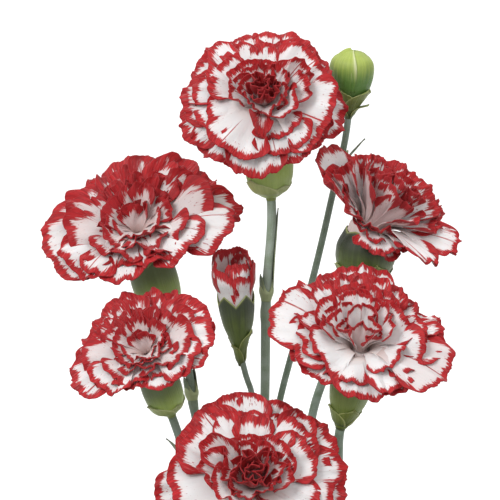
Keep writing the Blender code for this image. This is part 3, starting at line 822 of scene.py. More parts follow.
@dataclass(frozen=True)
class Petal:
    """One petal, by where its tip comes in its bloom's frame.

    Attributes:
        turn: Degrees round the bloom, from its right towards its back.
        reach: How far the tip is from the bloom's axis.
        rise: How far it is above the hub.
        half_width: Half its width at its widest.
        curl: Degrees that the outer half bends away from the axis, or towards it below zero.
        cup: How much the sides stand up, as a share of half the width.
        roll: Degrees that one side is higher than the other.
        ruffle: How far the margin waves up and down.
        blush_and_shade: How much painted shade darkens it all over, its white towards the shade colour and
            its red towards deep red.
        band: How wide its red margin is.
        fan: How far the sides of the margin fall back, as a share of the length.
    """

    turn: float
    reach: float
    rise: float
    half_width: float
    curl: float = 14.0
    cup: float = 0.10
    roll: float = 0.0
    ruffle: float = 1.5
    blush_and_shade: float = 0.0
    band: float = 3.6
    fan: float = 0.22

    ROWS = 23
    COLUMNS = 65
    THICK = 0.32
    START_TILT = 6.0

    def bend(self, opening: Array, v: Array) -> Array:
        """The midrib's angle from the axis, in radians: it starts upright, opens over the first two
        fifths of its length, and curls over the outer half.

        Args:
            opening: The angle it opens to, in degrees.
            v: The share of its length.

        Returns:
            The angle at each place.
        """
        opened = self.START_TILT + (opening - self.START_TILT) * smoothstep(0.0, 0.40, v)
        return np.radians(opened + self.curl * smoothstep(0.50, 1.05, v))

    def fit(self, foot_radius: float, foot_height: float) -> tuple[float, float]:
        """The length and the opening that bring the midrib's end to the tip.

        Args:
            foot_radius: How far from the axis the petal starts.
            foot_height: How far above the hub it starts.

        Returns:
            The length and the opening in degrees.
        """
        v = np.linspace(0.0, 1.0, 60)[:, None]
        tries = np.linspace(-20.0, 165.0, 186)[None, :]
        angles = self.bend(tries, v)
        out = np.sin(angles).mean(axis=0)
        up = np.cos(angles).mean(axis=0)
        want = math.atan2(self.reach - foot_radius, self.rise - foot_height)
        opening = float(np.interp(want, np.arctan2(out, up), tries[0]))
        share = math.hypot(np.interp(opening, tries[0], out), np.interp(opening, tries[0], up))
        return math.hypot(self.reach - foot_radius, self.rise - foot_height) / share, opening

    def along(self, u: Array, v: Array, length: float, phase: Array, draw: np.random.Generator) -> Array:
        """How far along the petal each point of its grid lies: its share of the length, less the fan's
        share of it towards the sides, with low lobes and small teeth near the margin and rounded corners.

        Args:
            u: How far across the points lie, from -1 to 1.
            v: How far along they lie, from 0 to 1.
            length: The petal's length.
            phase: What shifts the petal's waves.
            draw: Where its random values come from.

        Returns:
            The distances.
        """
        late = smoothstep(0.55, 1.0, v)
        lobes = 0.014 * np.sin(2.3 * u * math.pi + phase[0]) + 0.011 * np.sin(4.9 * u * math.pi + phase[1])
        count = self.half_width / draw.uniform(1.5, 1.9)
        saw = zigzag(u * count + 0.35 * np.sin(4.0 * u + phase[2]))
        teeth = 0.52 / length * saw * (0.65 + 0.35 * np.sin(8.0 * u + phase[7])) * smoothstep(0.86, 1.0, v)
        fall = self.fan * np.abs(u) ** 2.4 * smoothstep(0.15, 1.0, v) + 0.12 * np.abs(u) ** 9 * late
        return length * (v - fall + lobes * late - teeth)

    def add_to(self, skin: Skin, head: Frame, foot: tuple[float, float], facing: float, seed: int) -> None:
        """Works out the petal's front as a grid and adds it as a thin shell.

        A point's distance from the midrib is its share across times a width that opens like a fan. The
        midrib is the running sum of its direction's sine and cosine. The height above it adds the cup,
        which goes with the square of the distance from the midrib, the roll, which goes with that
        distance, and three waves that grow towards the margin. The paint's third number is the distance
        from the margin, counted in bands.

        Args:
            skin: The skin to add to.
            head: The bloom's frame.
            foot: How far from the axis and above the hub the petal starts.
            facing: Degrees that a petal at the bloom's side rolls to show its face to the front.
            seed: What sets its waves, teeth and streaks.
        """
        draw = np.random.default_rng(seed)
        phase = draw.uniform(0.0, FULL_TURN, 8)
        length, opening = self.fit(*foot)
        v = 1.0 - (1.0 - down(self.ROWS)) ** 1.35
        u = over(self.COLUMNS)
        along = self.along(u, v, length, phase, draw)
        width = self.half_width * (0.10 + 0.90 * np.clip(v / 0.93, 0.0, 1.0) ** 0.9)
        offset = width * u * (1.0 - 0.05 * u * u)
        fold = self.ruffle * smoothstep(0.25, 1.0, v) ** 1.5
        low_turns = draw.uniform(0.8, 1.3)
        mid_turns = draw.uniform(1.9, 2.7)
        high_turns = draw.uniform(4.2, 5.6)
        waves = 0.95 * np.sin(low_turns * math.pi * u + phase[3] + 0.6 * v)
        waves = waves + 0.66 * np.sin(mid_turns * math.pi * u + phase[4] - 0.8 * v)
        waves = waves + 0.38 * smoothstep(0.55, 1.0, v) * np.sin(high_turns * math.pi * u + phase[5])
        height = fold * waves + self.cup * offset**2 / self.half_width
        roll = self.roll + facing * math.cos(math.radians(self.turn)) + draw.uniform(-5.0, 5.0)
        height = height + offset * math.tan(math.radians(roll)) * smoothstep(0.2, 0.8, v)
        offset = offset + 0.30 * fold * np.cos(mid_turns * math.pi * u + phase[4])
        share = np.clip(along / length, 0.0, 1.1)
        swing = 0.30 * self.curl * np.sin(2.1 * u + phase[6])
        angle = self.bend(opening, share) + np.radians(swing) * smoothstep(0.5, 1.0, v)
        step = np.diff(along, axis=0, prepend=0.0 * along[:1])
        radius = foot[0] + np.cumsum(np.sin(angle) * step, axis=0)
        level = foot[1] + np.cumsum(np.cos(angle) * step, axis=0)
        radius = radius - height * np.cos(angle)
        level = level + height * np.sin(angle)
        turn = math.radians(self.turn)
        x = radius * math.cos(turn) - offset * math.sin(turn)
        y = radius * math.sin(turn) + offset * math.cos(turn)
        flow = stacked(u, v, draw.uniform(0.0, 9.0))
        to_side = (1.0 - np.abs(u)) * width * 1.25 + 6.0 * (1.0 - smoothstep(0.35, 0.92, v))
        rim = np.minimum(length * (1.0 - v), to_side) / (self.band * draw.uniform(0.78, 1.02))
        line = draw.uniform(-0.6, 0.6) if draw.random() < 0.5 else NO_LINE
        # The paint's fourth number is the petal's painted shade.
        paint = stacked(0.0, line, rim, self.blush_and_shade)
        skin.add_sheet(head.place(x, y, level)[:, ::-1], self.THICK, flow[:, ::-1], paint[:, ::-1])


def alike(looks: dict[str, float], *rows: tuple[float, ...]) -> list[Petal]:
    """Petals with the same looks, each given by its turn, reach, rise and half width."""
    return [Petal(*row, **looks) for row in rows]


def ring(count: int, start: float, reach: float, looks: dict[str, float], half_width: float) -> list[Petal]:
    """Petals evenly round a bloom, each a little out of step with the next.

    Args:
        count: How many.
        start: The first one's turn.
        reach: How far their tips are from the axis.
        looks: Their other values.
        half_width: Half their width.

    Returns:
        The petals.
    """
    made = []
    for i in range(count):
        uneven = math.sin(2.4 * i + start)
        wider = math.cos(3.7 * i + 0.5 * start)
        turn = start + 360.0 * i / count + 7.0 * uneven
        made.append(Petal(turn, reach * (1.0 + 0.07 * wider), FAN_HEART_RISE * (1.0 + 0.10 * uneven),
                          half_width * (1.0 + 0.08 * wider), **looks))
    return made


def mirrored(petals: list[Petal], grow: float) -> list[Petal]:
    """The same petals with left and right changed over, and larger or smaller."""
    return [replace(p, turn=180.0 - p.turn, roll=-p.roll, reach=p.reach * grow, rise=p.rise * grow,
                    half_width=p.half_width * grow, ruffle=p.ruffle * grow, band=p.band * grow)
            for p in petals]


# ------------------------------------------------------------------ calyxes, bracts and buds


# Profiles: pairs of a share of the length and the radius there, in units of the calyx's radius.
CUP = ((0.0, 0.25), (0.06, 0.52), (0.16, 0.76), (0.34, 0.94), (0.60, 1.0), (1.0, 0.95))
TAPERED = ((0.0, 0.30), (0.25, 0.57), (0.48, 0.84), (0.75, 0.98), (1.0, 1.0))
FUNNEL = ((0.0, 0.32), (0.25, 0.64), (0.48, 0.90), (0.75, 1.05), (1.0, 1.10))
EGG = ((0.0, 0.28), (0.10, 0.55), (0.25, 0.82), (0.50, 1.0), (0.75, 0.98), (1.0, 0.68))
BUD = ((0.0, 0.19), (0.10, 0.30), (0.22, 0.53), (0.35, 0.77), (0.50, 0.92), (0.66, 1.0), (0.80, 0.965),
       (0.91, 0.80), (0.97, 0.52), (1.0, 0.10))


def along_profile(profile: Profile, v: Array) -> Array:
    """A profile's height at each share: straight spans between its points, rounded by a mean of five
    places close by. The places draw together towards the ends, so that the ends stay put.

    Args:
        profile: Its points.
        v: The shares.

    Returns:
        The heights.
    """
    shares, heights = np.array(profile).T
    v = np.asarray(v, float)
    room = np.minimum(0.07, np.minimum(np.abs(v), np.abs(1.0 - v)))
    return sum(np.interp(v + room * step, shares, heights) for step in (-1.0, -0.5, 0.0, 0.5, 1.0)) / 5.0


def flow_round(turn: Array, level: Array) -> Array:
    """The flow value round a stem, cup or scale, whose third part is the level in centimetres."""
    return stacked(np.cos(turn), np.sin(turn), level / CM)


@dataclass(frozen=True)
class Calyx:
    """The green cup round the foot of a bloom, placed as the CAD's cup is.

    Attributes:
        number: Its bloom's number.
        base: The middle of its foot.
        lean_right: Degrees that it leans to the right.
        lean_front: Degrees that it leans to the front.
        length: How long it is.
        radius: Its profile's unit.
        tooth: How tall its teeth are.
        profile: Its radius at shares of its length, in units of that radius.
        mouth_shade: How much painted shade darkens it towards its mouth, in the shadow of the petals.
        mouth_shade_from: The share of its length where that painted shade starts.
    """

    number: str
    base: Point
    lean_right: float
    lean_front: float
    length: float
    radius: float
    tooth: float = 4.2
    profile: Profile = CUP
    mouth_shade: float = 0.3
    mouth_shade_from: float = 0.45

    AROUND = 80
    TEETH = 5.0
    WALL = 0.7

    @property
    def frame(self) -> Frame:
        """Its own frame, from the middle of its base."""
        return Frame(self.base, self.lean_right, self.lean_front)

    @property
    def mouth(self) -> Array:
        """The middle of its open end."""
        return np.asarray(self.base) + self.frame.axis * self.length

    def radius_at(self, v: Array) -> Array:
        """Its radius at a share of its length."""
        return self.radius * along_profile(self.profile, v)

    def build(self, finish: Material) -> None:
        """Builds the cup: up its outside, over five pointed teeth, and down its inside.

        Args:
            finish: Its material.
        """
        turn = round_about(self.AROUND)
        v = down(30)
        tooth = (1.0 - zigzag(turn * self.TEETH / FULL_TURN + 0.25)) ** 0.9
        lift = self.tooth * (tooth - 0.5) * smoothstep(0.72, 1.0, v)
        facets = 1.0 + 0.018 * np.cos(self.TEETH * turn) * smoothstep(0.1, 0.5, v)
        outer = self.radius_at(v) * facets + 0.2 * tooth * smoothstep(0.85, 1.0, v)
        level = self.length * v + lift
        inner = np.maximum(outer - self.WALL * (1.0 - 0.6 * tooth * smoothstep(0.9, 1.0, v)), 0.3)
        rings_radius = np.concatenate([outer, inner[:0:-1]])
        rings_level = np.concatenate([level, level[:0:-1]])
        rings = self.frame.turned(rings_radius, turn, rings_level)
        share = np.concatenate([v, v[:0:-1]])
        edge = smoothstep(0.95, 1.0, share) * 0.8
        # Painted shade: darker towards the mouth, in the shadow of the petals.
        outside = self.mouth_shade * smoothstep(self.mouth_shade_from, self.mouth_shade_from + 0.5, v)
        outside = outside * (1.0 - smoothstep(0.97, 1.0, v))
        # Painted shade: the inside of the cup is fully darkened.
        dark = np.concatenate([outside, np.ones_like(v[1:])])
        skin = Skin(f"calyx_cup_{self.number}")
        skin.add_tube(rings, flow_round(turn, rings_level), stacked(share, edge, dark, 0.0 * turn))
        skin.build(finish, Slot.CALYX, f"calyx_{self.number}")


@dataclass(frozen=True)
class Scale:
    """One scale at the foot of a calyx.

    Attributes:
        turn: Degrees round the calyx to its middle.
        height: How far up it reaches, as a share of the calyx's length.
        half_angle: How far round it wraps to each side, in degrees.
        outside: How far outside the calyx it lies.
        spur: How far its tip stands out.
    """

    turn: float
    height: float
    half_angle: float
    outside: float
    spur: float = 0.2


BROAD_SCALES = [
    Scale(205, 0.46, 84, 0.65), Scale(20, 0.40, 84, 0.65), Scale(290, 0.52, 80, 0.32),
    Scale(110, 0.50, 80, 0.32),
]
SMALL_SCALES = [
    Scale(222, 0.42, 84, 0.45), Scale(25, 0.26, 84, 0.45), Scale(310, 0.28, 80, 0.22),
    Scale(115, 0.36, 80, 0.22),
]
BUD_SCALES = [
    Scale(325, 0.46, 95, 0.70, 0.6), Scale(150, 0.40, 95, 0.70), Scale(235, 0.44, 92, 0.35),
    Scale(60, 0.50, 92, 0.35, 0.4), Scale(350, 0.20, 62, 1.05, 2.6), Scale(200, 0.17, 62, 1.05, 0.8),
]
SLIM_SCALES = [
    Scale(225, 0.14, 80, 0.80), Scale(45, 0.16, 80, 0.80), Scale(330, 0.40, 80, 0.40, 0.5),
    Scale(140, 0.30, 80, 0.40, 0.3),
]
# The painted shade on the backs of scales and sepals, and how thick both are.
BACK_SHADE = 0.25
SCALE_THICK = 0.3


@dataclass(frozen=True)
class Bracts:
    """The pointed scales that clasp the foot of a calyx, the outer ones lapping over the inner.

    Attributes:
        calyx: The calyx.
        stem_radius: The radius of the stem under it.
        scales: Every scale.
        foot: Where they start, as a share of the calyx's length, and below zero on the stem.
    """

    calyx: Calyx
    stem_radius: float
    scales: list[Scale]
    foot: float

    CLEAR = 0.12

    def build(self, finish: Material) -> None:
        """Builds the scales. Each starts on the stem, follows the calyx's own profile a little way
        outside it, narrows to a point, and its tip stands out by its spur.

        Args:
            finish: Their material.
        """
        calyx = self.calyx
        skin = Skin(f"bract_scales_{calyx.number}", back_value=BACK_SHADE)
        v = down(26)
        u = over(29)
        least = self.stem_radius + self.CLEAR
        for scale in self.scales:
            half = math.radians(scale.half_angle) * (1.0 - 0.98 * v**2.8)
            turn = math.radians(scale.turn) + u * half
            share = self.foot + (scale.height - self.foot) * v * (1.0 - 0.08 * u * u)
            on_calyx = calyx.radius_at(np.clip(share, 0.0, 1.0))
            joined = smoothstep(self.foot, 0.13, share)
            radius = least * (1.0 - joined) + np.maximum(on_calyx, least) * joined
            radius = radius + scale.outside * smoothstep(0.0, 0.35, v) + scale.spur * smoothstep(0.72, 1.0, v)
            level = share * calyx.length
            top = calyx.frame.turned(radius, turn, level)
            edge = smoothstep(0.84, 1.0, np.abs(u)) * smoothstep(0.15, 0.4, v) + smoothstep(0.93, 1.0, v)
            # Painted shade: darker at the foot, where the scales meet the stem.
            low = 0.35 * (1.0 - smoothstep(0.0, 0.4, v))
            paint = stacked(v, np.clip(edge, 0.0, 0.75), low, 0.0)
            skin.add_sheet(top, SCALE_THICK, flow_round(turn, level), paint)
        skin.build(finish, Slot.BRACT, f"bracts_{calyx.number}")


@dataclass(frozen=True)
class ShutBud:
    """A bud that is still shut: a smooth globe on a narrow foot, with three sepals lapped over its top.

    Attributes:
        calyx: Its place and profile.
        middle: The share of its height that the sepals swell away from.
        SEPALS: Each one's turn and half angle in degrees, the share it lies outside the globe, and the
            height of its peak.
        FOOT: The share of the height where they start.
        SUNK: The share by which they start inside the globe.
    """

    calyx: Calyx
    middle: float = 0.62

    SEPALS = ((216.0, 66.0, 0.055, 1.0), (334.0, 66.0, 0.030, 0.0), (95.0, 68.0, 0.042, 0.0))
    FOOT = 0.40
    SUNK = 0.02

    def build(self, finish: Material) -> None:
        """Builds the globe, then each sepal as the same surface over a part of its turn, moved away
        from the globe's middle by a share that grows up its height. A sepal's margin is a painted highlight,
        a pale line along its edge.

        Args:
            finish: The bud's material.
        """
        calyx = self.calyx
        skin = Skin("shut_bud", back_value=BACK_SHADE)
        turn = round_about(72)
        v = np.sin(math.pi / 2 * down(44))
        radius = calyx.radius_at(v) * (1.0 + 0.012 * np.cos(3.0 * turn + 1.0))
        level = calyx.length * v
        # Painted shade: the globe is darker low down, under its bracts.
        low = 0.5 * (1.0 - smoothstep(0.30, 0.48, v))
        skin.add_tube(calyx.frame.turned(radius, turn, level), flow_round(turn, level),
                      stacked(smoothstep(0.45, 1.0, v), 0.0, low, 0.0 * turn))
        t = down(30)
        u = over(33)
        place = self.FOOT + 0.598 * np.sin(math.pi / 2 * t)
        tall = smoothstep(0.45, 1.0, place)
        # Painted highlight: a pale line along each sepal's margin.
        edge = smoothstep(0.84, 0.97, np.abs(u)) * 0.95 * smoothstep(0.15, 0.5, t)
        for centre, half_angle, away, peak in self.SEPALS:
            around = math.radians(centre) + math.radians(half_angle) * u - 0.30 * t**2
            out = 1.0 - self.SUNK + (away + self.SUNK) * smoothstep(0.0, 0.55, t) + 0.02 * np.abs(u) ** 10
            level = calyx.length * (self.middle + (place - self.middle) * out)
            level = level + peak * smoothstep(0.55, 0.9, t) * np.maximum(0.0, 1.0 - 2.0 * np.abs(u + 0.2))
            top = calyx.frame.turned(calyx.radius_at(place) * out, around, level)
            skin.add_sheet(top, SCALE_THICK, flow_round(around, level), stacked(tall, edge, 0.0, 0.0))
        skin.build(finish, Slot.CALYX, f"calyx_{calyx.number}")


@dataclass(frozen=True)
class Wrap:
    """One petal wound round a half-open bud.

    Attributes:
        turn: Degrees round the bud to its middle.
        half_angle: How far round it reaches to each side, in degrees.
        out: How far from the bud's axis its widest part is.
        height: How far above the calyx's mouth it reaches.
        slant: How much lower its right side is than its left, in millimetres.
        inward: How far its margin draws in.
        line: Where its long red line runs, or a place off the petal for none.
    """

    turn: float
    half_angle: float
    out: float
    height: float
    slant: float
    inward: float
    line: float = NO_LINE


def late_wave(u: Array, v: Array, phase: Array) -> Array:
    """Two waves across a petal that grow towards its margin."""
    wave = np.sin(5.0 * u + phase[1]) + 0.5 * np.sin(13.0 * u + phase[2])
    return wave * smoothstep(0.5, 1.0, v)


@dataclass(frozen=True)
class FurledPetals:
    """The rolled petals that stand out of a half-open bud, from a depth below its calyx's mouth."""

    calyx: Calyx

    WRAPS = (
        Wrap(95, 88, 7.9, 19.5, 0.0, 0.5, 0.1), Wrap(150, 58, 8.2, 18.0, 0.0, 0.7),
        Wrap(38, 58, 8.0, 17.0, 0.0, 0.8), Wrap(4, 40, 8.8, 14.5, 0.0, -0.2),
        Wrap(285, 60, 5.6, 15.0, 0.0, 1.4, 0.3), Wrap(318, 62, 7.2, 14.5, -2.0, 1.0),
        Wrap(306, 50, 8.1, 10.5, 2.5, 0.4), Wrap(222, 66, 8.7, 14.8, 9.0, 0.9),
        Wrap(176, 46, 8.9, 12.5, 0.0, 0.2),
    )
    DEPTH = 8.0
    BAND = 3.2
    THICK = 0.3
    SEED = 71

    def build(self, finish: Material) -> None:
        """Builds a core and the petals wound round it. A petal leaves the calyx just inside its
        mouth, swells to its widest above it, and draws in towards its waved margin.

        Args:
            finish: The petals' material.
        """
        calyx = self.calyx
        draw = np.random.default_rng(self.SEED)
        mouth = Frame(tuple(calyx.mouth), calyx.lean_right, calyx.lean_front)
        skin = Skin("furled_petals", 2 * len(self.WRAPS) + 1, 0)
        turn = round_about(36)
        v = down(20)
        radius = 3.4 + 0.9 * np.sin(math.pi * v) - 1.6 * smoothstep(0.85, 1.0, v)
        # Painted shade on the core: its paint's fourth number is 0.3.
        skin.add_tube(mouth.turned(radius, turn, 21.0 * v - self.DEPTH), stacked(0.5 * np.cos(turn), v, 2.0),
                      stacked(0.0 * turn, NO_LINE, 6.0 * (1.0 - v), 0.3))
        v = 1.0 - (1.0 - down(30)) ** 1.3
        u = over(49)
        for i, wrap in enumerate(self.WRAPS):
            phase = draw.uniform(0.0, FULL_TURN, 4)
            half = math.radians(wrap.half_angle)
            tall = wrap.height - wrap.slant * (0.5 + 0.5 * u) ** 3 - 2.2 * np.abs(u) ** 4
            tall = tall + 0.35 * np.sin(9.0 * u + phase[3]) + self.DEPTH
            saw = zigzag(u * 7.0 + 0.3 * np.sin(4.0 * u + phase[0]))
            level = tall * v - self.DEPTH - 0.45 * saw * smoothstep(0.90, 1.0, v)
            inside = 0.80 + 0.24 * np.clip((level + self.DEPTH) / 9.5, 0.0, 1.0)
            inside = calyx.radius * inside - 0.1 * (i % 3)
            radius = inside + (wrap.out - inside) * smoothstep(1.5, 8.0, level)
            radius = radius - wrap.inward * smoothstep(0.80, 1.0, v) ** 1.5
            radius = radius + 0.40 * late_wave(u, v, phase) * smoothstep(1.0, 6.0, level)
            around = math.radians(wrap.turn) + u * half * (0.6 + 0.4 * smoothstep(0.1, 0.7, v))
            side = (1.0 - np.abs(u)) * half * wrap.out + 5.0 * (1.0 - smoothstep(0.30, 0.60, v))
            rim = np.minimum(tall * (1.0 - v), side) / self.BAND
            skin.add_sheet(mouth.turned(radius, around, level), self.THICK, stacked(u, v, i + 0.37),
                           stacked(0.0, wrap.line, rim, 0.0))
        skin.build(finish, Slot.PETAL, f"furled_petals_{calyx.number}")


# ------------------------------------------------------------------ blooms


@dataclass(frozen=True)
class Bloom:
    """An open carnation: its calyx, the throat its claws fill, and three sets of petals.

    Attributes:
        calyx: Its calyx.
        hub: Where its petals leave their claws.
        lean_right: Degrees that it leans to the right.
        lean_front: Degrees that it leans to the front.
        outer: Its lowest petals, which spread the most.
        middle: The petals inside those.
        heart: The innermost ones.
        facing: Degrees that a petal at its side rolls to show its face to the front.
    """

    calyx: Calyx
    hub: Point
    lean_right: float
    lean_front: float
    outer: list[Petal]
    middle: list[Petal]
    heart: list[Petal]
    facing: float = 8.0

    CLAWS = 7.0

    @property
    def head(self) -> Frame:
        """The frame that its petals are given in."""
        return Frame(self.hub, self.lean_right, self.lean_front)

    def add_throat(self, skin: Skin) -> None:
        """Adds the bundle of claws: a pleated tube whose rings slide and turn evenly from inside the
        calyx to the hub, a little narrower at each end.

        Args:
            skin: The skin to add to.
        """
        calyx = self.calyx
        turn = round_about(60)
        share = down(14)
        start = calyx.mouth - calyx.frame.axis * self.CLAWS
        below = Frame(tuple(start), calyx.lean_right, calyx.lean_front)
        radius = calyx.radius * (0.62 + 0.06 * np.sin(math.pi * share)) * (1.0 + 0.05 * np.cos(12.0 * turn))
        low = below.turned(radius, turn, 0.0)
        high = self.head.turned(radius, turn, -0.5)
        rings = low + (high - low) * share[..., None]
        # Painted shade: the throat lies near the petals' foot in the flow, so it takes their darker pink.
        skin.add_tube(rings, stacked(np.cos(turn), share * 0.30, 3.0),
                      stacked(0.3 + 0.0 * radius, NO_LINE, 9.0, 0.0))

    def build(self, finishes: Finishes) -> None:
        """Builds the three petal pieces.

        Args:
            finishes: Every material.
        """
        number = self.calyx.number
        sets = (("outer", "guard", self.outer, (5.0, -1.5)), ("middle", "middle", self.middle, (3.6, -0.5)),
                ("heart", "heart", self.heart, (1.6, 0.5)))
        for order, (name, node, petals, foot) in enumerate(sets):
            throat = 1 if name == "outer" else 0
            skin = Skin(f"{name}_petals_of_{number}", 2 * len(petals) + throat, 0)
            if throat:
                self.add_throat(skin)
            for i, petal in enumerate(petals):
                petal.add_to(skin, self.head, foot, self.facing, 1000 * int(number) + 100 * order + i)
            skin.build(finishes.petal, Slot.PETAL, f"{node}_petals_{number}")


def rosette_outer() -> list[Petal]:
    """The wide outer petals of a bloom that faces the front."""
    looks = {"ruffle": 1.3, "curl": 12.0, "fan": 0.17}
    return [
        *alike(looks, (72, 32, 8, 15), (44, 30.5, 7, 14), (98, 31, 7, 13), (118, 31.5, 7, 13),
               (141, 32.5, 6, 13), (160, 32, 3, 12), (178, 32, 3, 12), (197, 33, -3, 13),
               (219, 31, -3, 13), (240, 29, -3, 12), (262, 31.5, -3, 13), (300, 28, -2, 13),
               (326, 27.5, -2, 12), (351, 32, -3, 12), (16, 27, 3, 12)),
    ]


def rosette_middle() -> list[Petal]:
    """The second row, and the standing third row, of a bloom that faces the front."""
    looks = {"ruffle": 1.1, "curl": 8.0, "cup": 0.10, "band": 3.1, "fan": 0.15}
    inner = {"ruffle": 1.3, "curl": -2.0, "cup": 0.30, "band": 2.8, "fan": 0.15}
    return [
        Petal(336, 27.5, 5, 18, 6.0, 0.06, 6.0, 0.9, 0.0, 3.2, 0.14),
        *alike(looks, (38, 27, 9, 14.5), (103, 22, 10, 12), (79, 24, 10, 12), (132, 25.5, 9, 13),
               (181, 27.5, 5, 14)),
        Petal(241, 28, 4, 14.5, 6.0, 0.06, -6.0, 0.9, 0.0, 3.2, 0.14),
        *alike(looks, (293, 25, 2, 13), (292, 19, 5, 11), (152, 22, 10, 11), (210, 23, 5, 12)),
        *alike(inner, (139, 15, 13, 9), (73, 14, 12, 9), (180, 12.5, 12, 8), (325, 14.5, 12, 9),
               (6, 18, 13, 8)),
        Petal(28, 20, 14, 6, 6.0, 0.7, 25.0, 1.6, 0.0, 3.6),
        Petal(266, 21, 9, 4.6, 0.0, 1.3, -24.0, 1.3, 0.0, 9.0),
    ]


def rosette_heart() -> list[Petal]:
    """The tight, crumpled middle of a bloom that faces the front."""
    near = {"ruffle": 1.4, "curl": -4.0, "cup": 0.35, "band": 2.8, "blush_and_shade": 0.2}
    tight = {"ruffle": 1.8, "curl": -14.0, "cup": 0.9, "band": 6.0, "blush_and_shade": 0.42}
    return [
        *alike(near, (108, 11.5, 13, 7.5), (50, 12, 13, 7.5), (222, 9, 12, 6.5), (300, 10, 11, 6.5),
               (160, 9, 13, 6.5), (350, 10, 12, 6.5)),
        *alike(tight, (130, 6, 14.5, 5), (60, 5.5, 14.5, 4.5), (250, 6, 13, 5), (345, 6.5, 13.5, 5),
               (190, 3, 14, 4), (300, 3, 14, 4), (20, 2, 15, 3.5)),
    ]


def bowl_outer() -> list[Petal]:
    """The outer petals of a wide bowl seen from its side."""
    looks = {"ruffle": 1.5, "curl": 8.0, "cup": 0.08, "band": 4.2, "fan": 0.14}
    back = {"ruffle": 1.7, "curl": 8.0, "cup": 0.10, "band": 7.0, "fan": 0.12}
    return [
        Petal(178, 37, 4, 14, **looks),
        *alike(back, (160, 37, 6, 14), (144, 37, 8, 14), (127, 37, 9, 15), (107, 38, 13, 15),
               (88, 38, 16, 16), (66, 39, 17, 16), (45, 38, 14, 15)),
        *alike(looks, (28, 35, 8, 12), (10, 42, 4, 11), (341, 40, 5, 14), (318, 31, 4, 14),
               (298, 26, 1.5, 13), (273, 23.5, 1, 13), (221, 33, 1, 14)),
        Petal(199, 37.5, 3, 15, 8.0, 0.06, -4.0, 1.2, 0.0, 3.8, 0.14),
        Petal(244, 30, -2, 14, 10.0, 0.06, 0.0, 1.1, 0.1, 3.0, 0.14),
    ]


def bowl_middle() -> list[Petal]:
    """The standing inner rows of a wide bowl."""
    back = {"ruffle": 1.9, "curl": 8.0, "cup": 0.12, "band": 6.0, "fan": 0.12, "blush_and_shade": 0.12}
    wall = {"ruffle": 1.8, "curl": 8.0, "cup": 0.25, "band": 4.2, "fan": 0.14, "blush_and_shade": 0.35}
    front = {"ruffle": 1.6, "curl": -14.0, "cup": 0.15, "band": 4.2, "fan": 0.12, "blush_and_shade": 0.25}
    return [
        *alike(back, (152, 31, 9, 14), (126, 30, 12, 14), (100, 30, 16, 14), (74, 31, 18, 14),
               (48, 31, 16, 14)),
        *alike(wall, (20, 31, 9, 12), (178, 30, 7, 13), (346, 31, 7, 15)),
        Petal(312, 24, 6, 13, **front), Petal(208, 28, 6, 14, **wall),
        *alike(front, (240, 22, 5, 13), (276, 19, 5.5, 13)),
        *alike(wall, (60, 23, 16, 12), (95, 22, 16, 12), (130, 22, 13, 12), (162, 22, 10, 11),
               (28, 24, 12, 14)),
        *alike(front, (228, 17, 8, 10), (290, 15, 8, 11)),
        Petal(88, 19, 18.5, 4.4, 2.0, 1.3, 22.0, 1.3, 0.15, 8.0),
        Petal(122, 20, 16, 4.2, 2.0, 1.3, -22.0, 1.3, 0.15, 8.0),
        Petal(52, 21, 16, 4.2, 2.0, 1.3, 24.0, 1.3, 0.15, 8.0),
    ]


def bowl_heart() -> list[Petal]:
    """The upright petals round the open middle of a wide bowl."""
    wall = {"ruffle": 1.6, "curl": 10.0, "cup": 0.35, "band": 3.6, "fan": 0.14, "blush_and_shade": 0.55}
    low = {"ruffle": 1.3, "curl": -6.0, "cup": 0.30, "band": 2.4, "fan": 0.14, "blush_and_shade": 0.3}
    fold = {"ruffle": 1.9, "curl": -2.0, "cup": 0.8, "band": 4.4, "fan": 0.14, "blush_and_shade": 0.5}
    return [
        *alike(wall, (45, 14, 16, 8), (78, 12, 18, 8), (112, 13, 16, 8), (145, 14, 13, 8),
               (180, 14, 10, 8)),
        Petal(212, 13, 8, 8, **low), Petal(16, 15, 13, 9, **wall),
        *alike(low, (350, 15, 9, 9), (252, 10, 6.5, 8), (305, 11, 7, 9)),
        *alike(fold, (150, 5.5, 12.5, 5), (62, 6, 13.5, 5.5)),
    ]


def loose_outer() -> list[Petal]:
    """The large outer petals of a loose bloom."""
    looks = {"ruffle": 1.3, "curl": 8.0, "cup": 0.08, "band": 2.8, "fan": 0.15}
    back = {"ruffle": 1.6, "curl": 8.0, "cup": 0.12, "band": 3.4, "fan": 0.14}
    return [
        Petal(171, 35, 13, 13.5, 8.0, 0.06, -5.0, 1.0, 0.0, 2.8, 0.16),
        *alike(back, (145, 34, 14, 12), (125, 31, 13, 11), (104, 33, 16, 12.5), (83, 33, 16, 12.5),
               (66, 30, 12, 11), (48, 28, 10, 11)),
        Petal(13, 31, 9, 8, 12.0, 0.3, -18.0, 1.8, 0.0, 1.8), Petal(354, 32, 7, 11, **looks),
        Petal(331, 36, 4, 14.5, 10.0, 0.06, 0.0, 1.2, 0.25, 3.0, 0.16),
        *alike(looks, (305, 28, 2, 13), (275, 27, 0, 14.5), (243, 23, 3, 12), (217, 27, 4, 13),
               (196, 28, 7, 13)),
    ]


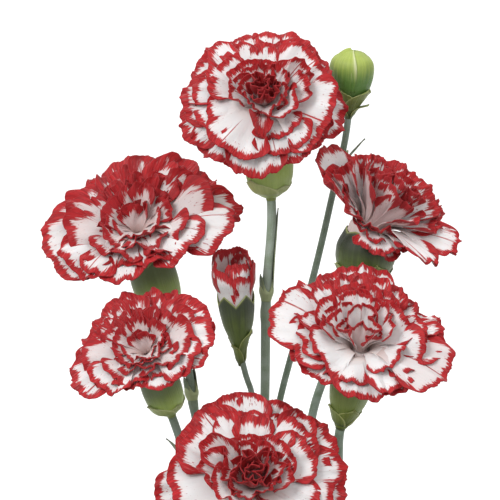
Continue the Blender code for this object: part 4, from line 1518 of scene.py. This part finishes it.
def loose_middle() -> list[Petal]:
    """The inner rows of a loose bloom, crowded at the back and open at the front."""
    back = {"ruffle": 1.7, "curl": 6.0, "cup": 0.2, "band": 3.1, "fan": 0.14}
    front = {"ruffle": 1.3, "curl": 2.0, "cup": 0.2, "band": 2.6, "fan": 0.15}
    return [
        *alike(back, (114, 25, 18, 12), (90, 25, 19, 12), (66, 25, 17, 12), (150, 25, 15, 12),
               (44, 25, 13, 11), (100, 17, 20, 10)),
        Petal(136, 17, 18, 11, 2.0, 0.25, -10.0, 1.4, 0.0, 2.8, 0.15), Petal(186, 24, 10, 12, **front),
        Petal(12, 17, 15, 10, 2.0, 0.25, 12.0, 1.4, 0.1, 2.6, 0.15), Petal(0, 25, 9, 10, **front),
        Petal(330, 25, 7, 11, 4.0, 0.15, 14.0, 1.3, 0.0, 2.6, 0.14), Petal(310, 19, 7, 10, **front),
        Petal(215, 21, 8, 12, 4.0, 0.15, -14.0, 1.3, 0.0, 2.6, 0.14), Petal(62, 17, 19, 10, **back),
        Petal(168, 15, 14, 9, **front),
    ]


def loose_heart() -> list[Petal]:
    """The hood of folded petals in the middle of a loose bloom."""
    hood = {"ruffle": 1.6, "curl": -2.0, "cup": 0.30, "band": 2.1, "fan": 0.2}
    return [
        *alike(hood, (118, 11, 21, 9), (66, 11, 19, 8.5), (160, 11, 17, 8), (200, 8, 14, 7),
               (12, 12, 15, 8.5), (325, 7, 12, 6.5), (258, 3, 15, 7), (95, 4, 19, 7), (345, 5, 17, 6.5)),
    ]


def fan_outer() -> list[Petal]:
    """The spread outer petals of a half-open bloom seen from its side."""
    looks = {"ruffle": 1.5, "curl": 8.0, "cup": 0.12, "band": 4.2, "fan": 0.14}
    hanging = {"ruffle": 1.4, "curl": 18.0, "cup": 0.10, "band": 2.6, "fan": 0.14, "blush_and_shade": 0.1}
    under = {"ruffle": 1.3, "curl": 2.0, "cup": 0.15, "band": 6.0, "fan": 0.14}
    return [
        Petal(162, 32, 18, 11.5, 10.0, 0.1, -8.0, 1.0, 0.0, 3.4, 0.16),
        *alike(looks, (130, 23, 20, 9), (112, 24, 21, 11), (90, 25, 22, 12), (68, 25, 22, 11),
               (46, 25, 22, 11), (25, 24, 21, 10), (5, 25, 16, 9)),
        Petal(345, 34, 13, 6.5, 8.0, 0.06, 28.0, 1.0, 0.0, 2.8, 0.14),
        *alike(hanging, (322, 33, 5.4, 7), (318, 19, 1, 9), (285, 18, -3.5, 11), (262, 15, 1, 9),
               (300, 12, 5, 8)),
        *alike(under, (240, 14, 5, 9), (216, 20, 8.5, 10), (194, 27, 12, 11)),
        *alike(looks, (176, 22, 16, 10), (335, 21, 6, 10)),
    ]


def fan_middle() -> list[Petal]:
    """The standing inner petals of a half-open bloom, the near ones hiding its middle."""
    looks = {"ruffle": 1.3, "curl": 4.0, "cup": 0.25, "band": 4.0, "fan": 0.14}
    near = {"ruffle": 1.2, "curl": -4.0, "cup": 0.30, "band": 4.2, "fan": 0.14, "blush_and_shade": 0.08}
    return [
        *alike(looks, (150, 19, 23, 10), (115, 18, 25, 11), (80, 18, 26, 11), (45, 19, 25, 11),
               (15, 20, 22, 10), (350, 22, 16, 9)),
        *alike(near, (185, 21, 21, 10), (208, 16, 23, 10), (232, 11, 24, 11), (262, 9, 22, 11),
               (292, 12, 19, 10), (322, 18, 16, 10)),
    ]


def fan_heart() -> list[Petal]:
    """The rolled middle of a half-open bloom."""
    looks = {"ruffle": 1.6, "curl": -6.0, "cup": 0.4, "band": 3.8, "fan": 0.18}
    return ring(6, 10, 11, looks, 8) + ring(5, 40, 5, looks, 6.5)


# ------------------------------------------------------------------ stems and leaves


@dataclass(frozen=True)
class Stem:
    """A cut stem: straight in the foam, then bent through its waypoints up to its calyx.

    Attributes:
        number: Its bloom's number.
        radius: Its radius.
        entry: Where it enters the foam.
        waypoints: Places it goes through, from below.
        head: The calyx it carries.
        nodes: The levels where it swells.
    """

    number: str
    radius: float
    entry: Point
    waypoints: list[Point]
    head: Calyx
    nodes: tuple[float, ...] = ()

    AROUND = 20
    IN_FOAM = 48.0
    END_GAP = 0.3
    SWELL = 0.22
    SWELL_SPREAD = 2.6

    def line(self, step: float) -> Array:
        """Points along the stem: cubic Hermite spans whose slopes come from the neighbouring waypoints.

        Args:
            step: How far apart the points are.

        Returns:
            The points, from the cut end up.
        """
        entry = np.array(self.entry, float)
        along = np.array(self.waypoints[0], float) - entry
        along /= np.linalg.norm(along)
        end = np.array(self.head.base) - self.head.frame.axis * self.END_GAP
        knots = [entry + along * 2.0, *(np.array(p, float) for p in self.waypoints), end]
        spans = [float(np.linalg.norm(b - a)) for a, b in zip(knots, knots[1:])]
        slopes = [along]
        for i in range(1, len(knots) - 1):
            slopes.append((knots[i + 1] - knots[i - 1]) / (spans[i] + spans[i - 1]))
        slopes.append(self.head.frame.axis)
        parts = [np.linspace(entry - along * self.IN_FOAM, knots[0], 12)[:-1]]
        for i, span in enumerate(spans):
            t = np.linspace(0.0, 1.0, max(3, round(span / step)), endpoint=i == len(spans) - 1)[:, None]
            parts.append((2 * t**3 - 3 * t**2 + 1) * knots[i] + (t**3 - 2 * t**2 + t) * span * slopes[i]
                         + (3 * t**2 - 2 * t**3) * knots[i + 1] + (t**3 - t**2) * span * slopes[i + 1])
        return np.concatenate(parts)

    def at(self, height: float) -> tuple[Array, Array]:
        """The stem's middle and direction at a height."""
        line = self.line(2.0)
        i = int(np.searchsorted(line[:, 2], height))
        low, high = line[i - 1], line[i]
        along = (high - low) / np.linalg.norm(high - low)
        return low + (high - low) * (height - low[2]) / (high[2] - low[2]), along

    def build(self, finish: Material) -> None:
        """Sweeps a ring along the line. The ring swells at each node and is a little out of round.

        Args:
            finish: The stem's material.
        """
        line = self.line(2.5)
        direction = np.gradient(line, axis=0)
        direction /= np.linalg.norm(direction, axis=1, keepdims=True)
        sides = [square_to(one) for one in direction]
        side, across = np.array(sides).transpose(1, 0, 2)[:, :, None]
        turn = round_about(self.AROUND)
        height = line[:, 2:]
        swell = 0.0 * height
        for node in self.nodes:
            swell = swell + self.SWELL * np.exp(-(((height - node) / self.SWELL_SPREAD) ** 2))
        oval = 1.0 + 0.025 * np.sin(2.0 * turn + height / 17.0) + 0.012 * np.sin(3.0 * turn - height / 9.0)
        radius = (self.radius * (1.0 + swell) * oval)[..., None]
        rings = line[:, None] + radius * spokes(turn, side, across)
        steps = np.linalg.norm(np.diff(line, axis=0), axis=1)
        travelled = np.concatenate([[0.0], np.cumsum(steps)])[:, None]
        paint = stacked(travelled / travelled[-1], 0.5 * np.clip(swell * 3.0, 0.0, 1.0), 0.0, 0.0 * turn)
        skin = Skin(f"cut_stem_{self.number}")
        skin.add_tube(rings, flow_round(turn, travelled), paint)
        skin.build(finish, Slot.STEM, f"stem_{self.number}")


@dataclass(frozen=True)
class LeafPair:
    """Two opposite leaves whose shared sheath clasps a stem.

    Attributes:
        number: Its number.
        stem: The stem it clasps.
        height: The level of its foot.
        turn: Degrees round the stem to the first leaf.
        lengths: The two leaves' lengths.
        spread: How far the leaves turn outwards, as a share of a right angle.
        half_width: Half their width.
        bow: How much of that turn comes along the leaf and not at its foot.
    """

    number: str
    stem: Stem
    height: float
    turn: float
    lengths: tuple[float, float]
    spread: float
    half_width: float = 1.9
    bow: float = 0.68

    SHEATH = 9.0
    SHEATH_TONE = -0.35
    STEPS = 30
    THICK = 0.45

    def add_sheath(self, skin: Skin, centre: Array, side: Array, across: Array, axis: Array) -> None:
        """Adds the sheath: a sleeve that is fullest low down and dips between the two leaves.

        Args:
            skin: The skin to add to.
            centre: The stem's middle there.
            side: A direction square to the stem.
            across: The other one.
            axis: The stem's direction.
        """
        turn = round_about(40)
        v = down(16)
        dip = 0.5 - 0.5 * np.cos(2.0 * (turn - math.radians(self.turn)))
        level = self.SHEATH * v * (1.0 - 0.55 * dip * v)
        bulge = 1.05 * smoothstep(-0.05, 0.5, v) * (1.0 - 0.40 * smoothstep(0.5, 1.0, v))
        radius = self.stem.radius + np.concatenate([0.12 + bulge, np.full_like(bulge, 0.08)])[..., None]
        height = np.concatenate([level, level[::-1]])
        rings = centre + radius * spokes(turn, side, across) + height[..., None] * axis
        skin.add_tube(rings, flow_round(turn, height), stacked(self.SHEATH_TONE, 0.45, 0.0, 0.0 * height))

    def add_blade(self, skin: Skin, centre: Array, axis: Array, outward: Array, length: float) -> None:
        """Adds one leaf: its midrib is an arc that leaves the stem upright and turns outwards, and
        across it is a shallow channel that widens a little, then tapers to a point.

        Args:
            skin: The skin to add to.
            centre: The stem's middle at the node.
            axis: The stem's direction.
            outward: The way the leaf points.
            length: How long it is.
        """
        v = down(self.STEPS)
        u = over(13)
        angle = self.spread * math.pi / 2 * (0.93 - self.bow + 2.0 * self.bow * v)
        step = length / (self.STEPS - 1)
        out = np.cumsum(np.sin(angle) * step, axis=0) - np.sin(angle[0]) * step
        up = np.cumsum(np.cos(angle) * step, axis=0) - np.cos(angle[0]) * step
        width = self.half_width * (0.95 + 0.4 * v) * (1.0 - v**2.2) + 0.10
        dish = 0.34 * width * u * u + 0.10 * np.sin(9.0 * v + 2.0 * u) * v
        start = centre + axis * (self.SHEATH * 0.45) + outward * (self.stem.radius + 0.95)
        across = np.cross(axis, outward)
        radial = out - dish * np.cos(angle)
        level = up + dish * np.sin(angle)
        top = start + (width * u)[..., None] * across + radial[..., None] * outward + level[..., None] * axis
        edge = 0.35 * smoothstep(0.8, 1.0, np.abs(u))
        skin.add_sheet(top, self.THICK, stacked(u * 0.9, 0.4, v * length / CM),
                       stacked(0.45 + 0.55 * v, edge, 0.0, 0.0))

    def build(self, finish: Material) -> None:
        """Builds the pair as one piece.

        Args:
            finish: The leaves' material.
        """
        centre, axis = self.stem.at(self.height)
        side, across = square_to(axis)
        # The leaves' backs take the full back value: painted shade.
        skin = Skin(f"leaves_{self.number}")
        self.add_sheath(skin, centre, side, across, axis)
        for i, length in enumerate(self.lengths):
            turn = math.radians(self.turn + 180.0 * i)
            self.add_blade(skin, centre, axis, side * math.cos(turn) + across * math.sin(turn), length)
        skin.build(finish, Slot.LEAF, f"leaf_pair_{self.number}")


# ------------------------------------------------------------------ the box and the studio


@dataclass(frozen=True)
class WoodenBox:
    """The CAD's own boards, liner and foam, dressed with their finishes.

    Attributes:
        BOARDS: Each board's grain: the degrees it is turned by, and a seed.
    """

    BOARDS = {"front": (0.0, 0.0), "back": (0.0, 1.3), "left": (90.0, 2.1), "right": (90.0, 3.4),
              "base": (0.0, 4.2)}

    def dress(self, finishes: Finishes) -> None:
        """Gives each CAD solid its material.

        Args:
            finishes: Every material.
        """
        for side, (turn, seed) in self.BOARDS.items():
            pine = PineFinish(f"pine_{side}_board", 0.62, turn, seed)
            self.paint(f"box_{side}_board", finishes.made(pine))
        self.paint("box_liner", finishes.liner)
        self.paint("foam_block", finishes.foam)

    def paint(self, node: str, finish: Material) -> None:
        """Puts a material on one CAD solid."""
        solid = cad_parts[node]
        solid.data.materials.clear()
        solid.data.materials.append(finish)
        LOG.info("%s: kept from the CAD", node)


@dataclass(frozen=True)
class Studio:
    """A plain pale floor, soft light and the camera."""

    target: Point = (0.0, 0.0, 0.265)
    distance: float = 0.9
    elevation: float = 8.0
    width: float = 0.200
    sensor: float = 36.0
    sky_low: float = 0.25
    sky_high: float = 1.0
    floor_radius: float = 40.0
    floor_level: float = -0.0006

    LAMPS = (("key", (-0.9, -1.1, 1.25), 0.7, 14.0), ("fill", (1.2, -0.9, 0.7), 0.9, 3.0))

    def build(self) -> None:
        """Makes the floor, the world, the lights and the camera."""
        self.floor()
        self.world()
        for name, place, size, power in self.LAMPS:
            self.lamp(name, place, size, power)
        self.camera()

    def floor(self) -> None:
        """A wide flat disc under the box."""
        material, n, shader = Finish("floor_white", 0.9).start()
        n.fill(shader, Base_Color=(0.8, 0.8, 0.8, 1.0), Specular_IOR_Level=0.1,
               Emission_Color=WHITE, Emission_Strength=0.45)
        turn = round_about(96)[0]
        points = stacked(self.floor_radius * np.cos(turn), self.floor_radius * np.sin(turn), self.floor_level)
        mesh = bpy.data.meshes.new("floor")
        mesh.from_pydata(points.tolist(), [], [list(range(len(turn)))])
        mesh.materials.append(material)
        floor = bpy.data.objects.new("floor", mesh)
        floor.visible_diffuse = False
        bpy.context.scene.collection.objects.link(floor)

    def world(self) -> None:
        """A white sky that dims towards and below the horizon, so that undersides are in soft shade."""
        world = bpy.data.worlds.new("studio")
        world.use_nodes = True
        n = Nodes(world.node_tree)
        sky = world.node_tree.nodes["Background"]
        up = n.split(n.add("TexCoord").outputs["Generated"])[2]
        n.fill(sky, Color=WHITE, Strength=n.ramp(up, -0.5, 0.8, self.sky_low, self.sky_high))
        bpy.context.scene.world = world

    def lamp(self, name: str, place: Point, size: float, power: float) -> None:
        """Adds a square soft light that faces the flowers.

        Args:
            name: Its name.
            place: Where it hangs, in metres.
            size: The length of its sides.
            power: Its power in watts.
        """
        data = bpy.data.lights.new(name, "AREA")
        data.size = size
        data.energy = power
        lamp = bpy.data.objects.new(name, data)
        lamp.location = place
        away = np.array(place) - np.array(self.target)
        lamp.rotation_euler = (math.acos(away[2] / np.linalg.norm(away)), 0.0, math.atan2(away[0], -away[1]))
        bpy.context.scene.collection.objects.link(lamp)

    def camera(self) -> None:
        """Puts the camera in front of the flowers, a little above them and looking down."""
        data = bpy.data.cameras.new("camera")
        data.sensor_width = self.sensor
        data.lens = self.sensor * self.distance / self.width
        camera = bpy.data.objects.new("camera", data)
        up = math.radians(self.elevation)
        camera.location = (self.target[0], self.target[1] - self.distance * math.cos(up),
                           self.target[2] + self.distance * math.sin(up))
        camera.rotation_euler = (math.pi / 2 - up, 0.0, 0.0)
        bpy.context.scene.collection.objects.link(camera)
        bpy.context.scene.camera = camera
        bpy.context.scene.view_settings.view_transform = "Standard"


# ------------------------------------------------------------------ the whole object


# The numbers of the half-open bud and the shut bud.
FURLED = "7"
SHUT = "8"
CALYXES = {
    "1": Calyx("1", (8.5, 14, 284.7), -4.5, 9, 23, 10.0, 3.0, CUP, 0.1),
    "2": Calyx("2", (-34.6, 22, 233.6), -16, 6, 27, 9.8, 3.6, CUP, 0.9, 0.30),
    "3": Calyx("3", (-31.2, -20, 202.4), -18, 15, 20, 8.0, 3.0, CUP, 0.85, 0.22),
    "4": Calyx("4", (35.7, -26, 198.9), 12, 15, 22, 8.5, 3.0, TAPERED, 0.3),
    "5": Calyx("5", (45.3, 6, 249.3), 4, 7, 23.5, 12.2, 1.6, EGG, 0.9),
    "6": Calyx("6", (-0.6, -40, 147.3), -1, 15, 26, 11.0, 3.6, CUP, 0.8),
    FURLED: Calyx(FURLED, (-4, 4, 224.2), -5, 4, 21, 6.8, 4.6, FUNNEL, 0.35),
    SHUT: Calyx(SHUT, (40.3, 30, 316.6), 4, 6, 26.5, 9.1, 0.0, BUD),
}
# The bracts that are darker than the rest, by their calyx's number.
DARK_SCALES = {"4": BROAD_SCALES, "5": BROAD_SCALES, FURLED: SLIM_SCALES, SHUT: BUD_SCALES}
# Where bracts start below the calyx, as a share of its length, and where the half-open bud's do.
BRACT_FOOT = -0.05
LOW_FOOT = -0.34


def make_blooms() -> list[Bloom]:
    """The six open blooms. The sixth is the first one's form turned over, and the third the second's."""
    return [
        Bloom(CALYXES["1"], (5.6, 8, 322.0), -2, 48, rosette_outer(), rosette_middle(), rosette_heart()),
        Bloom(CALYXES["2"], (-45.2, 18, 268.2), -9, 20, bowl_outer(), bowl_middle(), bowl_heart(), 26.0),
        Bloom(CALYXES["3"], (-39.8, -27, 227.0), -23, 22, mirrored(bowl_outer(), 0.76),
              mirrored(bowl_middle(), 0.76), mirrored(bowl_heart(), 0.76), 26.0),
        Bloom(CALYXES["4"], (42.6, -34, 230.5), 2, 28, loose_outer(), loose_middle(), loose_heart(), 14.0),
        Bloom(CALYXES["5"], (47.5, 3, 273.5), 30, 8, fan_outer(), fan_middle(), fan_heart(), 18.0),
        Bloom(CALYXES["6"], (0.9, -50, 180.4), 3, 48, mirrored(rosette_outer(), 1.11),
              mirrored(rosette_middle(), 1.11), mirrored(rosette_heart(), 1.11)),
    ]


def make_stems() -> dict[str, Stem]:
    """The eight stems, along the CAD's own lines."""
    rows = [
        ("1", 1.9, (2, 10, 98), [(5.2, 12, 165), (6.1, 13, 203), (6.6, 14, 243)], (237.0,)),
        ("2", 1.8, (-9, 12, 98), [(-16, 13, 160), (-23, 14, 197.6), (-26, 16, 215.5)], (124.0, 200.0)),
        ("3", 1.7, (-14, -11, 98), [(-18, -13, 140), (-25, -15, 180), (-28.6, -17, 194)], (119.0, 180.0)),
        ("4", 1.9, (28, -12, 98), [(32, -14, 135), (34.9, -20, 180)], (122.0,)),
        ("5", 1.8, (14, 9, 98), [(18, 10, 145), (25.4, 10, 195), (29.6, 8, 210)], ()),
        ("6", 2.0, (-2, -29, 98), [(-1.4, -33, 125)], ()),
        ("7", 1.2, (4, -6, 98), [(4, -3, 150), (0.8, 2, 205.5), (-1.7, 3.5, 213.3)], ()),
        ("8", 1.4, (0, 29, 98), [(6, 33, 160), (13.1, 35, 199), (25.1, 38, 243), (33.2, 38, 278)],
         (130.0, 294.0)),
    ]
    return {number: Stem(number, radius, entry, points, CALYXES[number], nodes)
            for number, radius, entry, points, nodes in rows}


def make_leaves(stems: dict[str, Stem]) -> list[LeafPair]:
    """The leaf pairs: four in the bunch, and four longer ones low down."""
    return [
        LeafPair("1", stems["1"], 242, 22, (34, 7), 0.03, 2.2),
        LeafPair("2", stems["2"], 200, 35, (10, 7), 0.02),
        LeafPair("3", stems["3"], 180, 200, (10, 8), 0.25),
        LeafPair("4", stems["8"], 294, -20, (13, 5), 0.30, 1.3, 0.08),
        LeafPair("5", stems["2"], 124, 125, (46, 38), 0.80, 2.3),
        LeafPair("6", stems["4"], 122, -75, (44, 36), 0.80, 2.3),
        LeafPair("7", stems["3"], 119, 210, (42, 12), 0.75, 2.3),
        LeafPair("8", stems["8"], 130, 60, (44, 34), 0.80, 2.3),
    ]


def main() -> None:
    """Builds the whole object in order, then the studio."""
    logging.basicConfig(level=logging.INFO, format="%(message)s")
    finishes = Finishes()
    WoodenBox().dress(finishes)
    stems = make_stems()
    for number, stem in stems.items():
        # The first stem takes the paler copy of the stem finish: painted light.
        stem.build(finishes.lit_stem if number == "1" else finishes.stem)
    for leaves in make_leaves(stems):
        leaves.build(finishes.leaf)
    # The darker calyx greens are painted shade for calyxes that sit in shade.
    cups = {"4": finishes.half_shaded_calyx, "5": finishes.shaded_calyx, FURLED: finishes.shaded_calyx}
    for number, calyx in CALYXES.items():
        if number != SHUT:
            calyx.build(cups.get(number, finishes.calyx))
        bracts = Bracts(calyx, stems[number].radius, DARK_SCALES.get(number, SMALL_SCALES),
                        LOW_FOOT if number == FURLED else BRACT_FOOT)
        bracts.build(finishes.dark_bract if number in DARK_SCALES else finishes.bract)
    ShutBud(CALYXES[SHUT]).build(finishes.bud)
    FurledPetals(CALYXES[FURLED]).build(finishes.petal)
    for bloom in make_blooms():
        bloom.build(finishes)
    Studio().build()


if __name__ == "__main__":
    main()
